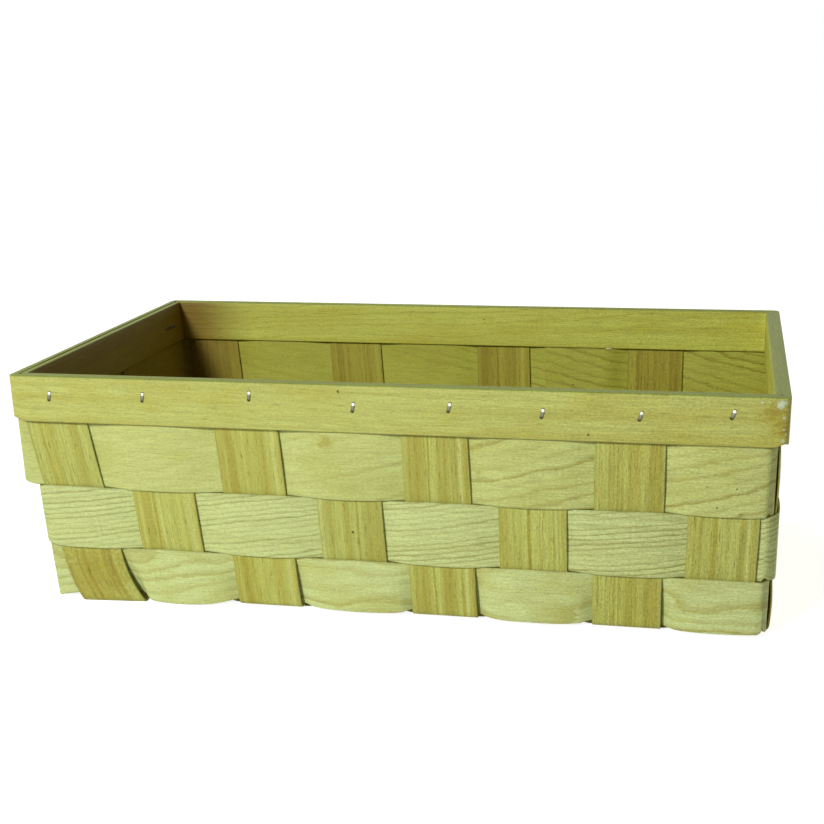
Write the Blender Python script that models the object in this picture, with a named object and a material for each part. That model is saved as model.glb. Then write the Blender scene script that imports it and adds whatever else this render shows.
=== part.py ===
"""A rectangular basket woven from wide wood splints, with a stapled rim of two bent wooden bands.

Eight splints run from front to back and four from end to end. They cross in the base, turn up at its
edges and become the uprights of the walls. Three more splints are woven round the walls as closed rows.
The uprights' tops are held between an outer and an inner rim band by one staple each.

Axes: X runs along the basket, Y from front to back, Z up. The origin is on the ground, at the middle of
the base. Lengths are in metres and angles in radians.
"""

import math

import bmesh
import bpy
from mathutils import Matrix, Vector

# The basket's outside, over the rim
basket_length = 0.400
basket_depth = 0.240
basket_height = 0.127

# How far the walls lean out from the base to the rim. The base sits a little to the right of the rim.
end_wall_flare = 0.00745
side_wall_flare = 0.00795
base_shift = 0.0052

# The splints
splint_thickness = 0.0015
splint_width = 0.0344
side_splint_count = 8
end_splint_count = 4
base_bend_radius = 0.007
rim_corner_margin = 0.0053
base_corner_margin = 0.0072

# How far each front-to-back splint lies from its even place, in shares of the splints' spacing
cross_splint_shift_shares = (0, -0.036, 0.021, 0.065, 0.033, 0.032, 0.023, -0.02)

# The weave
fit_clearance = 0.0003
weave_slack = 0.0001
upright_swing = 0.0004
weaver_corner_radius = 0.005
middle_joint_height = 0.065
lower_joint_height = 0.031
row_gap = 0.0005

# The lower edge of the bottom row, which the uprights pull in where they bend below it
bottom_edge_height = 0.0036
bottom_edge_droop = 0.0009
bottom_edge_tuck = 0.003

# Where each row's ends lap, behind an upright of the back wall. Rows are numbered from the top.
lap_inset = 0.003
lap_tail = 0.004
row_lap_numbers = (3, 2, 3)

# The rim
rim_height = 0.025
outer_rim_thickness = 0.003
inner_rim_thickness = 0.0029
outer_rim_radius = 0.0055
inner_rim_radius = 0.0036
scarf_length = 0.012

# The staples
staple_width = 0.0054
staple_wire = 0.0006
staple_wire_width = 0.0009
staple_leg = 0.0074
staple_corner = 0.0003
front_staple_drop_shares = (0.44, 0.40, 0.30, 0.47, 0.41, 0.47, 0.46, 0.37)
front_staple_shift_shares = (-0.14, -0.01, 0.16, 0.23, 0.27, 0.18, 0.14, 0.03)
front_staple_tilts = tuple(math.radians(angle) for angle in (14, 12, 10, 14, 18, 16, 22, 24))
other_staple_drop_share = 0.42
other_staple_tilt = math.radians(15)
inner_staple_drop_share = 0.46
inner_staple_tilt = math.radians(68)

# How finely curves are cut
bend_steps = 4
corner_steps = 4
turn_steps = 4
row_steps = 4
top_steps = 2

# Colours are (red, green, blue) in linear light, with roughness and metallic value
weaver_finish = ((0.62, 0.63, 0.22), 0.62, 0.0)
upright_finish = ((0.48, 0.45, 0.12), 0.66, 0.0)
rim_finish = ((0.52, 0.48, 0.12), 0.55, 0.0)
staple_finish = ((0.66, 0.66, 0.62), 0.32, 1.0)

# Derived sizes
base_swing = (splint_thickness + fit_clearance) / 2 + weave_slack / 2
weaver_swing = splint_thickness + fit_clearance + weave_slack
base_level = base_swing + splint_thickness / 2
lap_step = splint_thickness + fit_clearance
rim_bottom = basket_height - rim_height
outer_band_offset = splint_thickness / 2 + fit_clearance + outer_rim_thickness / 2
inner_band_offset = -(splint_thickness / 2 + fit_clearance + inner_rim_thickness / 2)
wall_to_outside = outer_band_offset + outer_rim_thickness / 2
rim_half_length = basket_length / 2 - wall_to_outside
rim_half_depth = basket_depth / 2 - wall_to_outside
base_half_length = rim_half_length - end_wall_flare
base_half_depth = rim_half_depth - side_wall_flare

front, right, back, left = range(4)


def clear_scene():
    for obj in list(bpy.data.objects):
        bpy.data.objects.remove(obj, do_unlink=True)


def make_material(name, finish):
    colour, roughness, metallic = finish
    material = bpy.data.materials.new(name)
    material.use_nodes = True
    shader = material.node_tree.nodes["Principled BSDF"]
    shader.inputs["Base Color"].default_value = (*colour, 1.0)
    shader.inputs["Roughness"].default_value = roughness
    shader.inputs["Metallic"].default_value = metallic
    material.diffuse_color = (*colour, 1.0)
    return material


def blend(start, end, share):
    return start + (end - start) * share


def ease(share):
    """Goes from 0 to 1 and leaves and arrives level, as a springy splint does."""
    return (1 - math.cos(math.pi * share)) / 2


def alternate(number):
    return 1 if number % 2 == 0 else -1


def wall_share(height):
    return (height - base_level) / (basket_height - base_level)


def half_length_at(height):
    return blend(base_half_length, rim_half_length, wall_share(height))


def half_depth_at(height):
    return blend(base_half_depth, rim_half_depth, wall_share(height))


def halves_at(wall, height):
    """Half the wall's own length, and its distance from the basket's middle."""
    if wall in (front, back):
        return half_length_at(height), half_depth_at(height)
    return half_depth_at(height), half_length_at(height)


def upright_count(wall):
    return side_splint_count if wall in (front, back) else end_splint_count


def pitch_between(half, margin, count):
    return (2 * (half - margin) - splint_width) / (count - 1)


def pitch_at(wall, height):
    """The uprights' spacing. They fan out a little from the base to the rim."""
    count = upright_count(wall)
    base_half = base_half_length if wall in (front, back) else base_half_depth
    rim_half = rim_half_length if wall in (front, back) else rim_half_depth
    base_pitch = pitch_between(base_half, base_corner_margin, count)
    rim_pitch = pitch_between(rim_half, rim_corner_margin, count)
    return blend(base_pitch, rim_pitch, max(0, wall_share(height)))


def wall_directions(wall):
    """The way round the basket along this wall, seen from above against the clock, and its outward side."""
    turn = wall * math.pi / 2
    along = Vector((round(math.cos(turn)), round(math.sin(turn)), 0))
    outward = Vector((along.y, -along.x, 0))
    return along, outward


def splint_places(wall):
    """Where the uprights of a wall stand, in pitches from its middle, in the direction round the basket."""
    count = upright_count(wall)
    places = [number - (count - 1) / 2 for number in range(count)]
    if wall in (front, back):
        shares = cross_splint_shift_shares
        places = [place + shares[number % len(shares)] for number, place in enumerate(places)]
    if wall == back:
        places = [-place for place in reversed(places)]
    return places


def finish_mesh(name, mesh, material, parent):
    mesh.validate()
    mesh.materials.append(material)
    obj = bpy.data.objects.new(name, mesh)
    bpy.context.scene.collection.objects.link(obj)
    obj.parent = parent
    return obj


def shifted(point):
    """The point moved along the basket, by the whole shift in the base and not at all at the top of the rim."""
    return point + Vector((base_shift * (1 - max(0, wall_share(point.z))), 0, 0))


def ribbon_mesh(name, stations):
    """A flat strip. Each station gives four corners: outside low, outside high, inside high, inside low."""
    shape = bmesh.new()
    rings = [[shape.verts.new(shifted(corner)) for corner in station] for station in stations]
    for ring, following in zip(rings, rings[1:]):
        for number in range(4):
            after = (number + 1) % 4
            shape.faces.new((ring[number], ring[after], following[after], following[number]))
    shape.faces.new(rings[0])
    shape.faces.new(tuple(reversed(rings[-1])))
    bmesh.ops.recalc_face_normals(shape, faces=shape.faces)
    mesh = bpy.data.meshes.new(name)
    shape.to_mesh(mesh)
    shape.free()
    return mesh


def straight_point(wall, height, along, offset):
    """A point of a straight stretch of wall: along it from its middle, and out from its middle surface."""
    along_direction, outward = wall_directions(wall)
    distance = halves_at(wall, height)[1] + offset
    point = along_direction * along + outward * distance
    point.z = height
    return point


def corner_point(wall, height, angle, radius, grow, offset):
    """A point of the rounded corner after this wall. The outline is the wall's, moved out by grow."""
    along_direction, outward = wall_directions(wall)
    half, distance = halves_at(wall, height)
    centre = along_direction * (half + grow - radius) + outward * (distance + grow - radius)
    ray = outward * math.cos(angle) + along_direction * math.sin(angle)
    point = centre + ray * (radius + offset)
    point.z = height
    return point


# Splints that run down one wall, across the base and up the other


def splint_directions(near):
    """The direction that a splint runs in, away from the wall where it starts, and that of its width."""
    if near == front:
        return Vector((0, 1, 0)), Vector((1, 0, 0))
    return Vector((1, 0, 0)), Vector((0, 1, 0))


def wall_run(wall, row_signs):
    """(distance out, height, outward slope, offset) down one wall, from the rim to the start of the bend."""
    bend_top = base_level + bend_reach(wall) * wall_lean_cosine(wall)
    edges = (basket_height, rim_bottom - row_gap, middle_joint_height, lower_joint_height, bend_top)
    stations = []
    for number in range(top_steps):
        height = blend(edges[0], edges[1], number / top_steps)
        stations.append((height, 0))
    for row, sign in enumerate(row_signs, 1):
        for number in range(row_steps):
            share = number / row_steps
            height = blend(edges[row], edges[row + 1], share)
            stations.append((height, sign * upright_swing * math.sin(math.pi * share)))
    stations.append((bend_top, 0))
    return stations


def wall_lean(wall):
    """How far the wall leans out from upright."""
    rise = basket_height - base_level
    return math.atan2(halves_at(wall, basket_height)[1] - halves_at(wall, base_level)[1], rise)


def wall_lean_cosine(wall):
    return math.cos(wall_lean(wall))


def bend_reach(wall):
    """From the corner of base and wall to where the bend starts, along either of them."""
    return base_bend_radius * math.tan((math.pi / 2 - wall_lean(wall)) / 2)


def splint_profile(near, row_signs_near, base_signs, row_signs_far, crossing_places):
    """The splint's middle line as (run, height, normal run, normal height, offset), from rim to rim.

    Run is measured from the basket's middle and grows away from the near wall. Offsets grow outwards:
    away from the basket on a wall, and down in the base.
    """
    lean = wall_lean(near)
    half_base = halves_at(near, base_level)[1]
    bend_start = half_base - bend_reach(near)
    turn = math.pi / 2 - lean

    def on_wall(side, signs):
        stations = []
        for height, offset in wall_run(near, signs):
            run = side * halves_at(near, height)[1]
            stations.append((run, height, side * math.cos(lean), -math.sin(lean), offset))
        return stations

    def on_bend(side, sign):
        stations = []
        for number in range(1, bend_steps + 1):
            share = number / bend_steps
            angle = lean + turn * share
            run = side * (bend_start + base_bend_radius * math.cos(angle))
            height = base_level + base_bend_radius * (1 - math.sin(angle))
            offset = sign * base_swing * ease(share)
            stations.append((run, height, side * math.cos(angle), -math.sin(angle), offset))
        return stations

    base = []
    for number, (place, sign) in enumerate(zip(crossing_places, base_signs)):
        start = place - splint_width / 2
        end = place + splint_width / 2
        base.append((start, base_level, 0, -1, sign * base_swing))
        base.append((end, base_level, 0, -1, sign * base_swing))
        if number + 1 < len(crossing_places):
            following = crossing_places[number + 1] - splint_width / 2
            for step in range(1, turn_steps):
                share = step / turn_steps
                offset = sign * base_swing * (1 - 2 * ease(share))
                base.append((blend(end, following, share), base_level, 0, -1, offset))
    near_part = on_wall(-1, row_signs_near) + on_bend(-1, base_signs[0])
    far_part = on_wall(1, row_signs_far) + on_bend(1, base_signs[-1])
    return near_part + base + list(reversed(far_part))


def splint_stations(near, place, profile):
    """Cross-sections of a splint. Place counts pitches from the middle of the wall."""
    run_direction, width_direction = splint_directions(near)
    stations = []
    for run, height, normal_run, normal_height, offset in profile:
        centre = run_direction * run + width_direction * (place * pitch_at(near, height))
        centre.z = height
        normal = run_direction * normal_run
        normal.z = normal_height
        middle = centre + normal * offset
        across = width_direction * (splint_width / 2)
        outward = normal * (splint_thickness / 2)
        stations.append(
            (
                middle - across + outward,
                middle + across + outward,
                middle + across - outward,
                middle - across - outward,
            )
        )
    return stations


def make_cross_splints(material, parent):
    """Front-to-back splints, counted from the left."""
    places = splint_places(front)
    crossing_pitch = pitch_at(right, base_level)
    crossings = [place * crossing_pitch for place in splint_places(right)]
    made = []
    for number, place in enumerate(places, 1):
        near_signs = [alternate(number + row) for row in (1, 2, 3)]
        base_signs = [alternate(number + crossing + 1) for crossing in range(1, end_splint_count + 1)]
        far_signs = [alternate(number + row + end_splint_count + 1) for row in (1, 2, 3)]
        profile = splint_profile(front, near_signs, base_signs, far_signs, crossings)
        name = f"cross_splint_{number}"
        mesh = ribbon_mesh(name, splint_stations(front, place, profile))
        made.append(finish_mesh(name, mesh, material, parent))
    return made


def make_long_splints(material, parent):
    """End-to-end splints, counted from the front."""
    places = splint_places(right)
    crossing_pitch = pitch_at(front, base_level)
    crossings = [place * crossing_pitch for place in splint_places(front)]
    made = []
    for number, place in enumerate(places, 1):
        near_signs = [alternate(number + row + 1) for row in (1, 2, 3)]
        base_signs = [alternate(number + crossing) for crossing in range(1, side_splint_count + 1)]
        far_signs = [alternate(number + row + side_splint_count) for row in (1, 2, 3)]
        profile = splint_profile(left, near_signs, base_signs, far_signs, crossings)
        name = f"long_splint_{number}"
        mesh = ribbon_mesh(name, splint_stations(left, place, profile))
        made.append(finish_mesh(name, mesh, material, parent))
    return made


# Rows woven round the walls


class Place:
    """A place along a wall that follows the uprights as they fan out.

    It is so many pitches and a fixed shift from the wall's middle, or at the start or end of a corner.
    """

    def __init__(self, pitches, shift, corner):
        self.parts = (pitches, shift, corner)

    def toward(self, other, share):
        return Place(*(blend(a, b, share) for a, b in zip(self.parts, other.parts)))

    def along(self, wall, height, radius):
        pitches, shift, corner = self.parts
        half = halves_at(wall, height)[0]
        return pitches * pitch_at(wall, height) + shift + corner * (half - radius)


def row_route(first_phase):
    """(wall, place, corner angle, phase) all the way round. Phase is 1 outside an upright and -1 inside it."""
    route = []
    phase = first_phase
    corner_start = Place(0, 0, 1)
    corner_end = Place(0, 0, -1)
    straight_share = 1 / (corner_steps + 2)
    for wall in (front, right, back, left):
        places = splint_places(wall)
        for number, pitches in enumerate(places):
            entry = Place(pitches, -splint_width / 2, 0)
            leaving = Place(pitches, splint_width / 2, 0)
            route.append((wall, entry, None, phase))
            route.append((wall, leaving, None, phase))
            if number + 1 < len(places):
                following = Place(places[number + 1], -splint_width / 2, 0)
                for step in range(1, turn_steps):
                    share = step / turn_steps
                    route.append((wall, leaving.toward(following, share), None, phase * (1 - 2 * ease(share))))
            phase_before = phase
            phase = -phase
        for step in range(corner_steps + 1):
            share = blend(straight_share, 1 - straight_share, step / corner_steps)
            turned = phase_before * (1 - 2 * ease(share))
            if step == 0:
                route.append((wall, corner_start, None, turned))
            elif step == corner_steps:
                route.append(((wall + 1) % 4, corner_end, None, turned))
            else:
                route.append((wall, None, math.pi / 2 * step / corner_steps, turned))
    return route


def lapped_route(first_phase, lap_number):
    """The row's route, opened behind an upright of the back wall, where its tail lies inside its head."""
    route = row_route(first_phase)
    pitches = splint_places(back)[lap_number - 1]
    entry = Place(pitches, -splint_width / 2, 0)
    leaving = Place(pitches, splint_width / 2, 0)
    starts = [
        number
        for number, (wall, place, _, _) in enumerate(route)
        if wall == back and place is not None and place.parts == entry.parts
    ]
    start = starts[0]
    turned = route[start + 1 :] + route[:start]
    head = Place(pitches, lap_inset - splint_width / 2, 0)
    tail = Place(pitches, splint_width / 2 + lap_tail, 0)
    stations = [(back, head, None, -1, 0)]
    stations += [(*station, 0) for station in turned]
    for number in range(1, turn_steps):
        wall, place, angle, phase, _ = stations[-number]
        stations[-number] = (wall, place, angle, phase, ease(1 - number / turn_steps))
    stations += [(back, entry, None, -1, 1), (back, leaving, None, -1, 1), (back, tail, None, -1, 1)]
    return stations


def row_point(wall, place, angle, height, offset):
    if angle is None:
        return straight_point(wall, height, place.along(wall, height, weaver_corner_radius), offset)
    return corner_point(wall, height, angle, weaver_corner_radius, 0, offset)


def row_outward(wall, angle):
    along_direction, outward = wall_directions(wall)
    if angle is None:
        return outward
    return outward * math.cos(angle) + along_direction * math.sin(angle)


def row_mesh(name, first_phase, lap_number, low, high, droop, tuck):
    """A woven row. Droop lowers its lower edge outside the uprights, and tuck pulls it in behind them."""
    stations = []
    for wall, place, angle, phase, layer in lapped_route(first_phase, lap_number):
        offset = weaver_swing * phase - lap_step * layer
        low_offset = offset - tuck * (1 - phase) / 2
        low_point = row_point(wall, place, angle, low - droop * phase, low_offset)
        high_point = row_point(wall, place, angle, high, offset)
        half = row_outward(wall, angle) * (splint_thickness / 2)
        stations.append((low_point + half, high_point + half, high_point - half, low_point - half))
    return ribbon_mesh(name, stations)


def make_rows(material, parent):
    half_gap = row_gap / 2
    top_edges = (middle_joint_height + half_gap, rim_bottom - row_gap)
    middle_edges = (lower_joint_height + half_gap, middle_joint_height - half_gap)
    bottom_edges = (bottom_edge_height, lower_joint_height - half_gap)
    rows = (
        ("top_weaver", -1, top_edges, 0, 0),
        ("middle_weaver", 1, middle_edges, 0, 0),
        ("bottom_weaver", -1, bottom_edges, bottom_edge_droop, bottom_edge_tuck),
    )
    for lap_number, (name, first_phase, edges, droop, tuck) in zip(row_lap_numbers, rows):
        mesh = row_mesh(name, first_phase, lap_number, *edges, droop, tuck)
        finish_mesh(name, mesh, material, parent)


# Rim bands


def band_section(wall, along, angle, offset, thickness, radius):
    """A cross-section of a rim band, with its faces along the leaning wall."""
    corners = []
    for side, height in ((1, rim_bottom), (1, basket_height), (-1, basket_height), (-1, rim_bottom)):
        out = side * thickness / 2
        if angle is None:
            corners.append(straight_point(wall, height, along(wall, height), offset + out))
        else:
            corners.append(corner_point(wall, height, angle, radius, offset, out))
    return tuple(corners)


def band_corner(wall, offset, thickness, radius):
    def before(on_wall, height):
        return halves_at(on_wall, height)[0] + offset - radius

    def after(on_wall, height):
        return -(halves_at(on_wall, height)[0] + offset - radius)

    sections = [band_section(wall, before, None, offset, thickness, radius)]
    for step in range(1, corner_steps):
        angle = math.pi / 2 * step / corner_steps
        sections.append(band_section(wall, None, angle, offset, thickness, radius))
    sections.append(band_section((wall + 1) % 4, after, None, offset, thickness, radius))
    return sections


def make_outer_band(material, parent):
    """One bent strip. Its ends meet in a slanted scarf joint in the middle of the back."""
    radius = outer_rim_radius - outer_rim_thickness / 2

    def scarf_end(shift):
        outside = band_section(
            back, lambda wall, height: shift, None, outer_band_offset, outer_rim_thickness, radius
        )
        inside = band_section(
            back, lambda wall, height: shift + scarf_length, None, outer_band_offset, outer_rim_thickness, radius
        )
        return (outside[0], outside[1], inside[2], inside[3])

    slant_gap = fit_clearance * math.hypot(scarf_length, outer_rim_thickness) / outer_rim_thickness
    sections = [scarf_end((slant_gap - scarf_length) / 2)]
    for wall in (back, left, front, right):
        sections += band_corner(wall, outer_band_offset, outer_rim_thickness, radius)
    sections.append(scarf_end(-(slant_gap + scarf_length) / 2))
    mesh = ribbon_mesh("outer_rim_band", sections)
    return finish_mesh("outer_rim_band", mesh, material, parent)


def make_inner_band(material, parent):
    """One bent strip. Its ends meet square in the back left corner, where the left end butts on the back."""
    radius = inner_rim_radius - inner_rim_thickness / 2
    outer_face = inner_band_offset + inner_rim_thickness / 2
    inner_face = inner_band_offset - inner_rim_thickness / 2

    def left_start(wall, height):
        return -(halves_at(wall, height)[0] + inner_face - fit_clearance)

    def back_end(wall, height):
        return halves_at(wall, height)[0] + outer_face

    sections = [band_section(left, left_start, None, inner_band_offset, inner_rim_thickness, radius)]
    for wall in (left, front, right):
        sections += band_corner(wall, inner_band_offset, inner_rim_thickness, radius)
    sections.append(band_section(back, back_end, None, inner_band_offset, inner_rim_thickness, radius))
    mesh = ribbon_mesh("inner_rim_band", sections)
    return finish_mesh("inner_rim_band", mesh, material, parent)


# Staples and the holes that their legs go through


def staple_matrix(wall, pitches, shift, drop_share, tilt, from_inside):
    """A frame on the face of the rim: X along the crown, Y along the wire's width, Z out of the wood."""
    height = basket_height - rim_height * drop_share
    face = wall_to_outside
    if from_inside:
        face = inner_band_offset - inner_rim_thickness / 2
    along = pitches * pitch_at(wall, height) + shift
    low, centre, high = (
        shifted(straight_point(wall, level, along, face)) for level in (rim_bottom, height, basket_height)
    )
    up = (high - low).normalized()
    out = wall_directions(wall)[0].cross(up).normalized()
    if from_inside:
        out = -out
    crown = up * math.cos(tilt) + up.cross(out) * math.sin(tilt)
    across = out.cross(crown)
    return Matrix.Translation(centre) @ Matrix((crown, across, out)).transposed().to_4x4()


def staple_list():
    """(name, frame) of every staple: one at each upright, counted round each wall against the clock."""
    names = {front: "front", right: "right", back: "back", left: "left"}
    staples = []
    for wall, side in names.items():
        for number, pitches in enumerate(splint_places(wall)):
            shift, drop, tilt, from_inside = 0, other_staple_drop_share, other_staple_tilt, False
            if wall == front:
                chosen = number % len(front_staple_drop_shares)
                shift = splint_width * front_staple_shift_shares[chosen]
                drop = front_staple_drop_shares[chosen]
                tilt = front_staple_tilts[chosen]
            if wall == left and number == 0:
                drop, tilt, from_inside = inner_staple_drop_share, inner_staple_tilt, True
            frame = staple_matrix(wall, pitches, shift, drop, tilt, from_inside)
            staples.append((f"{side}_staple_{number + 1}", frame))
    return staples


def staple_mesh():
    """A bent wire staple with its crown just clear of the wood."""
    shape = bmesh.new()
    half = staple_width / 2
    under = fit_clearance
    top = under + staple_wire
    tip = under - staple_leg
    outline = (
        (-half, tip),
        (-half, top - staple_corner),
        (-half + staple_corner, top),
        (half - staple_corner, top),
        (half, top - staple_corner),
        (half, tip),
        (half - staple_wire, tip),
        (half - staple_wire, under),
        (-half + staple_wire, under),
        (-half + staple_wire, tip),
    )
    sides = []
    for across in (-staple_wire_width / 2, staple_wire_width / 2):
        sides.append([shape.verts.new((along, across, out)) for along, out in outline])
    shape.faces.new(sides[0])
    shape.faces.new(tuple(reversed(sides[1])))
    for number in range(len(outline)):
        after = (number + 1) % len(outline)
        shape.faces.new((sides[0][number], sides[1][number], sides[1][after], sides[0][after]))
    return mesh_from("staple", shape)


def add_leg_holes(shape, frame):
    """Two square holes, from clear of the wood to just past the legs' tips."""
    length = staple_wire + 2 * fit_clearance
    width = staple_wire_width + 2 * fit_clearance
    start = staple_wire + 2 * fit_clearance
    end = fit_clearance - staple_leg - fit_clearance
    size = Matrix.Diagonal((length, width, start - end, 1))
    for side in (-1, 1):
        place = Vector((side * (staple_width - staple_wire) / 2, 0, (start + end) / 2))
        bmesh.ops.create_cube(shape, size=1, matrix=frame @ Matrix.Translation(place) @ size)


def mesh_from(name, shape):
    bmesh.ops.recalc_face_normals(shape, faces=shape.faces)
    mesh = bpy.data.meshes.new(name)
    shape.to_mesh(mesh)
    shape.free()
    return mesh


def make_staples(material, parent, pierced):
    """One staple at each upright, and the holes for their legs in every piece that they pierce."""
    wire = staple_mesh()
    wire.materials.append(material)
    holes = bmesh.new()
    for name, frame in staple_list():
        staple = bpy.data.objects.new(name, wire)
        bpy.context.scene.collection.objects.link(staple)
        staple.parent = parent
        staple.matrix_world = frame
        add_leg_holes(holes, frame)
    cutter = finish_mesh("staple_leg_holes", mesh_from("staple_leg_holes", holes), material, parent)
    cutter.hide_render = True
    cutter.display_type = "WIRE"
    for obj in pierced:
        cut = obj.modifiers.new("staple legs", "BOOLEAN")
        cut.object = cutter
        cut.operation = "DIFFERENCE"


def build_basket():
    clear_scene()
    basket = bpy.data.objects.new("splint_basket", None)
    bpy.context.scene.collection.objects.link(basket)
    upright_wood = make_material("upright_splint_wood", upright_finish)
    weaver_wood = make_material("weaver_splint_wood", weaver_finish)
    rim_wood = make_material("rim_band_wood", rim_finish)
    staple_steel = make_material("staple_steel", staple_finish)
    cross_splints = make_cross_splints(upright_wood, basket)
    long_splints = make_long_splints(upright_wood, basket)
    make_rows(weaver_wood, basket)
    outer_band = make_outer_band(rim_wood, basket)
    inner_band = make_inner_band(rim_wood, basket)
    make_staples(staple_steel, basket, [*cross_splints, *long_splints, outer_band, inner_band])


build_basket()
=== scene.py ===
"""The splint basket's looks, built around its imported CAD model. Lengths are in metres, angles in radians."""

import math

import bmesh
import bpy
from mathutils import Matrix, Vector


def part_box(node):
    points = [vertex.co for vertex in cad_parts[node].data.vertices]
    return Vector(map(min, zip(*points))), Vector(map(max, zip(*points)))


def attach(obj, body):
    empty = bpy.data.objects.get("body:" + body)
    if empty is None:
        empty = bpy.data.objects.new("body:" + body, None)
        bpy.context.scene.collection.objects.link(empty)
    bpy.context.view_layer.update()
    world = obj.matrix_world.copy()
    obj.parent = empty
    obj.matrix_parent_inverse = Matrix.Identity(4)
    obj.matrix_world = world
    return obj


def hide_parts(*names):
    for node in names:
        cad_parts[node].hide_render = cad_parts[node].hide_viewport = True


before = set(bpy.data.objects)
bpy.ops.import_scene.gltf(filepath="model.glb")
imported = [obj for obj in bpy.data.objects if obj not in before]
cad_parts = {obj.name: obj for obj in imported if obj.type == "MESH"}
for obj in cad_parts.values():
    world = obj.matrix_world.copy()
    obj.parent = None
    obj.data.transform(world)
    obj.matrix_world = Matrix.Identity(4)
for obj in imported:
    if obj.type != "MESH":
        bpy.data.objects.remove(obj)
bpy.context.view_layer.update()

# The studio
# The camera stands in front of the basket, a little to its right, and looks down on it.
# A lamp at the front left makes the thin dark lines along the uprights' right edges. Two low ones light
# the back and both ends, and leave no shine along the rim's top.

camera_place = Vector((0.17012, -0.81480, 0.28900))
camera_yaw = -0.2163
camera_pitch = 0.2411
camera_roll = -0.0197
camera_lens = 64.53
sensor_width = 36.0
nearest_seen = 0.01


def new_object(name, data):
    """An object with this data, linked to the scene."""
    obj = bpy.data.objects.new(name, data)
    bpy.context.scene.collection.objects.link(obj)
    return obj


looking_along_y = Matrix(((1, 0, 0), (0, 0, -1), (0, 1, 0)))
image_to_camera = Matrix(((1, 0, 0), (0, -1, 0), (0, 0, -1)))
turn = (
    Matrix.Rotation(camera_roll, 3, "Z")
    @ Matrix.Rotation(camera_pitch, 3, "X")
    @ looking_along_y
    @ Matrix.Rotation(camera_yaw, 3, "Z")
)
camera_data = bpy.data.cameras.new("camera")
camera_data.lens = camera_lens
camera_data.sensor_width = sensor_width
camera_data.clip_start = nearest_seen
camera = new_object("camera", camera_data)
camera.matrix_world = Matrix.Translation(camera_place) @ (image_to_camera @ turn).transposed().to_4x4()
bpy.context.scene.camera = camera
bpy.context.scene.view_settings.view_transform = "Standard"


def add_lamp(name, direction_angle, rise_angle, distance, size, power, shine=True):
    """A square area lamp that faces the basket. Its direction is measured from the front, to the right."""
    data = bpy.data.lights.new(name, "AREA")
    data.size = size
    data.energy = power
    lamp = new_object(name, data)
    lamp.visible_glossy = shine
    place = Vector((math.sin(direction_angle), -math.cos(direction_angle), 0)) * math.cos(rise_angle)
    place.z = math.sin(rise_angle)
    lamp.location = place * distance
    lamp.rotation_euler = place.to_track_quat("Z", "Y").to_euler()


add_lamp(
    "key_lamp",
    direction_angle=math.radians(-21),
    rise_angle=math.radians(29),
    distance=1.8,
    size=0.27,
    power=21.4,
)
add_lamp(
    "back_lamp",
    direction_angle=math.radians(-155),
    rise_angle=math.radians(12),
    distance=2.4,
    size=0.8,
    power=23,
    shine=False,
)
add_lamp(
    "side_lamp",
    direction_angle=math.radians(125),
    rise_angle=math.radians(2.3),
    distance=2.0,
    size=0.15,
    power=12,
    shine=False,
)


class Socket:
    """An output of a node. Sums and products of sockets and numbers add Math nodes."""

    def __init__(self, tree, node, name=None):
        shown = [socket for socket in node.outputs if socket.enabled]
        self.tree = tree
        self.node = node
        self.socket = next((socket for socket in shown if socket.name == name), shown[0])

    def output(self, name):
        return Socket(self.tree, self.node, name)

    def maths(self, operation, *values):
        return add_node(self.tree, "ShaderNodeMath", {"operation": operation}, dict(enumerate(values)))

    def __add__(self, other):
        return self.maths("ADD", self, other)

    def __radd__(self, other):
        return self.maths("ADD", other, self)

    def __sub__(self, other):
        return self.maths("SUBTRACT", self, other)

    def __rsub__(self, other):
        return self.maths("SUBTRACT", other, self)

    def __mul__(self, other):
        return self.maths("MULTIPLY", self, other)

    def __rmul__(self, other):
        return self.maths("MULTIPLY", other, self)

    def __truediv__(self, other):
        return self.maths("DIVIDE", self, other)

    def __rtruediv__(self, other):
        return self.maths("DIVIDE", other, self)

    def __pow__(self, other):
        return self.maths("POWER", self, other)

    def __abs__(self):
        return self.maths("ABSOLUTE", self)


def add_node(tree, kind, settings=None, sockets=None):
    """Adds a node, makes its settings first, and then fills or links its sockets by name or number."""
    node = tree.nodes.new(kind)
    for name, value in (settings or {}).items():
        if name == "stops":
            set_stops(node.color_ramp, value)
        else:
            setattr(node, name, value)
    for key, value in (sockets or {}).items():
        shown = [socket for socket in node.inputs if socket.enabled]
        target = shown[key] if isinstance(key, int) else next(s for s in shown if s.name == key)
        if isinstance(value, Socket):
            tree.links.new(value.socket, target)
        else:
            target.default_value = value
    return Socket(tree, node) if node.outputs else None


def set_stops(ramp, stops):
    """Gives a colour ramp these places and colours."""
    while len(ramp.elements) < len(stops):
        ramp.elements.new(1.0)
    for element, (place, colour) in zip(ramp.elements, stops):
        element.position = place
        element.color = (*colour, 1.0)


def new_material(name):
    """A node material with only its output, and that output node."""
    material = bpy.data.materials.new(name)
    material.use_nodes = True
    material.node_tree.nodes.clear()
    return material, material.node_tree.nodes.new("ShaderNodeOutputMaterial")


def add_surface(tree, output, sockets):
    """A Principled surface with these sockets, as what the material puts out."""
    surface = add_node(tree, "ShaderNodeBsdfPrincipled", {}, sockets)
    tree.links.new(surface.socket, output.inputs["Surface"])


def mix_colours(tree, share, first, second):
    settings = {"data_type": "RGBA"}
    return add_node(tree, "ShaderNodeMix", settings, {"Factor": share, "A": first, "B": second})


def seen_directly(tree):
    """1 for rays from the camera, a mirror or glass, which see the background as plain white."""
    path = add_node(tree, "ShaderNodeLightPath")
    rays = path.output("Is Camera Ray") + path.output("Is Glossy Ray") + path.output("Is Transmission Ray")
    return rays.maths("MINIMUM", rays, 1.0)


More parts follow.
